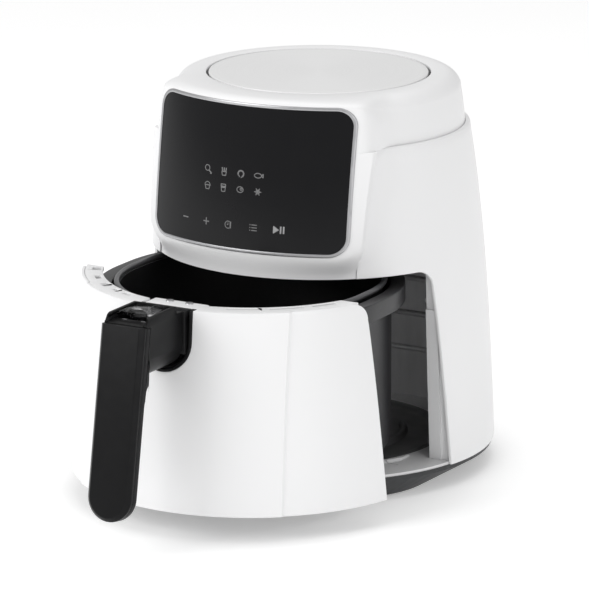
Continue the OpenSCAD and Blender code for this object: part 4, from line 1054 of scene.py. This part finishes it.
for x in (-7.5, 7.5):
    spot = Matrix.Translation((x, front_face + 17, GRIP_TOP.z + 0.05))
    bmesh.ops.create_cube(dash_pair, size=1, matrix=spot @ Matrix.Diagonal((3.4, 0.8, 0.1, 1)))
fit_piece(dash_pair, "lip_marks", "basket", silver_ink)

clear_plastic, tree, inputs = new_material("clear_guard_plastic")
haze = noise(tree, 80, 3)
blur = calculate(tree, "ADD", calculate(tree, "MULTIPLY", haze, 0.06), 0.03)
tree.links.new(blur, inputs["Roughness"])
tree.links.new(mix_colour(tree, haze, (0.95, 0.95, 0.96, 1), (0.9, 0.9, 0.91, 1)), inputs["Base Color"])
inputs["Transmission Weight"].default_value = 1
inputs["IOR"].default_value = 1.12
GUARD_BACK = -139.25
GUARD_LENGTH = 25
GUARD_FOOT = 168
guard = box(-13.9, 13.9, GUARD_BACK - GUARD_LENGTH, GUARD_BACK, GUARD_FOOT, ARM_TOP - 0.6)
foot = box(-14.9, 14.9, GUARD_BACK - GUARD_LENGTH, GUARD_BACK, GUARD_FOOT, GUARD_FOOT + 1.3)
guard = soften(cut(guard, foot, how="UNION"), 0.3)
button_guard = fit_piece(guard, "clear_button_guard", "guard", clear_plastic)
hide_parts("button_guard")

# ---- Cavity liner ----
# A pressed steel sleeve round the drawer's bay, open in front. Four beads run round it to
# stiffen it, and the pan's flange slides on the upper one. It is screwed to the floor plate.
LINER_SIDE = 110.5
LINER_CORNER = 88
LINER_FOOT = 19.6
LINER_TOP = 167.7
BEAD_R = 2.2
LINER_SHEET = 0.8
inner_line = [(LINER_CORNER, LINER_FOOT)]
for bead in (58, 86, 114, 141):
    inner_line += arc(LINER_CORNER + 0.3, bead, BEAD_R, 270, 90, 10)
inner_line.append((LINER_CORNER, LINER_TOP))
outer_line = [(LINER_CORNER + LINER_SHEET, LINER_TOP), (LINER_CORNER + LINER_SHEET, LINER_FOOT)]
sleeve = swept(inner_line + outer_line + inner_line[:1], LINER_SIDE, LINER_SIDE, LINER_SIDE, LINER_CORNER)
bay_front = [(-FAR, -FAR), (opening_y(-FAR) + 5.2, -FAR), (opening_y(FAR) + 5.2, FAR), (-FAR, FAR)]
plunger_hole = slab(circle(0, 150.7, 2.6), 100, 140, "Y")
sleeve = cut(sleeve, slab(bay_front, -FAR, FAR, "X"), plunger_hole)
sleeve_steel = metal("pressed_liner_steel", (0.62, 0.62, 0.63), (0.5, 0.5, 0.51), 0.34,
                     stretch=(1, 1, 0.2), metallic=0.35)
cavity_liner = fit_piece(sleeve, "liner_sleeve", "housing", sleeve_steel)
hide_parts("cavity_liner")

# ---- Inside and under the body ----
# Pieces that the CAD frame already shapes fully keep its meshes: the base tray on its rubber feet,
# the floor, ducts, heater, motor, fans, boards and fixings. Each gets its own finish.


def circuit_board(name):
    """Green solder mask over paler copper tracks, with a row pattern of tinned joints."""
    material, tree, inputs = new_material(name)
    place = tree.nodes.new("ShaderNodeTexCoord").outputs["Object"]
    tracks = tree.nodes.new("ShaderNodeTexBrick")
    tracks.inputs["Scale"].default_value = 160
    tracks.inputs["Mortar Size"].default_value = 0.03
    tracks.inputs["Color1"].default_value = (0.01, 0.09, 0.03, 1)
    tracks.inputs["Color2"].default_value = (0.012, 0.13, 0.045, 1)
    tracks.inputs["Mortar"].default_value = (0.05, 0.2, 0.07, 1)
    tree.links.new(place, tracks.inputs["Vector"])
    joints = tree.nodes.new("ShaderNodeTexVoronoi")
    joints.inputs["Scale"].default_value = 260
    tree.links.new(place, joints.inputs["Vector"])
    solder = calculate(tree, "LESS_THAN", joints.outputs["Distance"], 0.16)
    tinned = mix_colour(tree, solder, tracks.outputs["Color"], (0.6, 0.6, 0.58, 1))
    tree.links.new(tinned, inputs["Base Color"])
    tree.links.new(solder, inputs["Metallic"])
    inputs["Roughness"].default_value = 0.35
    bump(tree, solder, 0.2, 0.0002, inputs)
    return material


white_satin = plastic("white_satin_abs", (0.82, 0.82, 0.825), (0.78, 0.78, 0.785), 0.45)
clear_pipe, tree, inputs = new_material("clear_light_guide")
milky = noise(tree, 60, 3)
tree.links.new(mix_colour(tree, milky, (0.93, 0.94, 0.95, 1), (0.86, 0.87, 0.88, 1)), inputs["Base Color"])
tree.links.new(calculate(tree, "MULTIPLY", milky, 0.3), inputs["Roughness"])
inputs["Transmission Weight"].default_value = 0.85
finishes = {
    "white_shell": white_gloss, "white_inner": white_satin, "lid_disc": disc_metal, "dark_ring": groove_shade_black,
    "panel_trim": satin_chrome, "panel_glass": black_glass, "handle_black": black_plastic,
    "button_black": button_black, "guard_clear": clear_plastic, "pan_coating": non_stick,
    "clear_guide": clear_pipe, "circuit": circuit_board("circuit_board"),
    "inner_plastic": plastic("grey_inner_plastic", (0.2, 0.2, 0.205), (0.16, 0.16, 0.165), 0.55),
    "base_plastic": plastic("dark_base_plastic", (0.03, 0.031, 0.034), (0.024, 0.025, 0.027), 0.5,
                            height=0.15, rub_and_highlight_amount=0.3, worn_and_lit_colour=(0.09, 0.09, 0.09, 1)),
    "feet_rubber": plastic("foot_rubber", (0.018, 0.018, 0.018), (0.012, 0.012, 0.012), 0.85, size=500,
                           height=0.3, dirt=0.1),
    "fan_plastic": plastic("heat_proof_plastic", (0.04, 0.038, 0.035), (0.03, 0.028, 0.026), 0.5),
    "plunger_red": plastic("red_plunger_plastic", (0.5, 0.03, 0.02), (0.42, 0.025, 0.018), 0.4),
    "cavity_steel": metal("pressed_cavity_steel", (0.5, 0.5, 0.51), (0.4, 0.4, 0.41), 0.34,
                          stretch=(1, 1, 0.2), metallic=0.45),
    "dish_steel": metal("grey_coated_dish", (0.22, 0.22, 0.225), (0.16, 0.16, 0.165), 0.42, scale=90,
                        metallic=0.5),
    "element": metal("heated_element_steel", (0.3, 0.26, 0.22), (0.16, 0.14, 0.13), 0.5, scale=70),
    "wire_steel": metal("bright_wire", (0.66, 0.66, 0.67), (0.55, 0.55, 0.56), 0.25, scale=400),
    "zinc_steel": metal("zinc_plated_steel", (0.58, 0.59, 0.61), (0.46, 0.47, 0.5), 0.36, scale=45),
    "screw_steel": metal("bright_screws", (0.62, 0.62, 0.63), (0.5, 0.5, 0.51), 0.28, scale=500, spark=0.5),
    "fan_metal": metal("stamped_fan_steel", (0.6, 0.6, 0.61), (0.5, 0.5, 0.51), 0.3, stretch=(0.2, 1, 1)),
}
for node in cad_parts.values():
    for place in node.material_slots:
        place.material = finishes[place.material.name]

# ---- Camera, floor and light ----
# A long lens a little above the lid, a pale floor, and soft studio boxes.
lens = bpy.data.cameras.new("camera")
lens.lens = 257.2
lens.sensor_width = 36
lens.clip_end = 30
camera = bpy.data.objects.new("camera", lens)
camera.location = (1.4783, -2.672, 0.9274)
aim = Vector((-0.0155, -0.0087, 0.1234)) - camera.location
camera.rotation_euler = aim.to_track_quat("-Z", "Y").to_euler()
bpy.context.scene.collection.objects.link(camera)
bpy.context.scene.camera = camera

floor_mesh = bmesh.new()
bmesh.ops.create_grid(floor_mesh, x_segments=1, y_segments=1, size=6)
floor = as_object(floor_mesh, "floor")
pale_floor, tree, inputs = new_material("pale_floor")
mottle = noise(tree, 3, 2)
tree.links.new(mix_colour(tree, mottle, (0.93, 0.93, 0.93, 1), (0.9, 0.9, 0.9, 1)), inputs["Base Color"])
inputs["Roughness"].default_value = 0.9
inputs["Emission Color"].default_value = (1, 1, 1, 1)
inputs["Emission Strength"].default_value = 0.3
floor.data.materials.append(pale_floor)


def soft_box(name, place, size, power):
    light = bpy.data.lights.new(name, "AREA")
    light.shape = "RECTANGLE"
    light.size = size
    light.size_y = size
    light.energy = power
    lamp = bpy.data.objects.new(name, light)
    lamp.location = place
    lamp.rotation_euler = (Vector((0, 0, 0.15)) - lamp.location).to_track_quat("-Z", "Y").to_euler()
    bpy.context.scene.collection.objects.link(lamp)


soft_box("key", (-1.3, -2.2, 1.6), 1.6, 33)
soft_box("fill", (2.6, -1.6, 1.0), 1.6, 12)
soft_box("top", (0.1, 0.3, 2.6), 1.8, 16)
world = bpy.data.worlds.new("studio")
world.use_nodes = True
world.node_tree.nodes["Background"].inputs["Color"].default_value = (1, 1, 1, 1)
world.node_tree.nodes["Background"].inputs["Strength"].default_value = 0.55
bpy.context.scene.world = world
bpy.context.scene.view_settings.view_transform = "Standard"
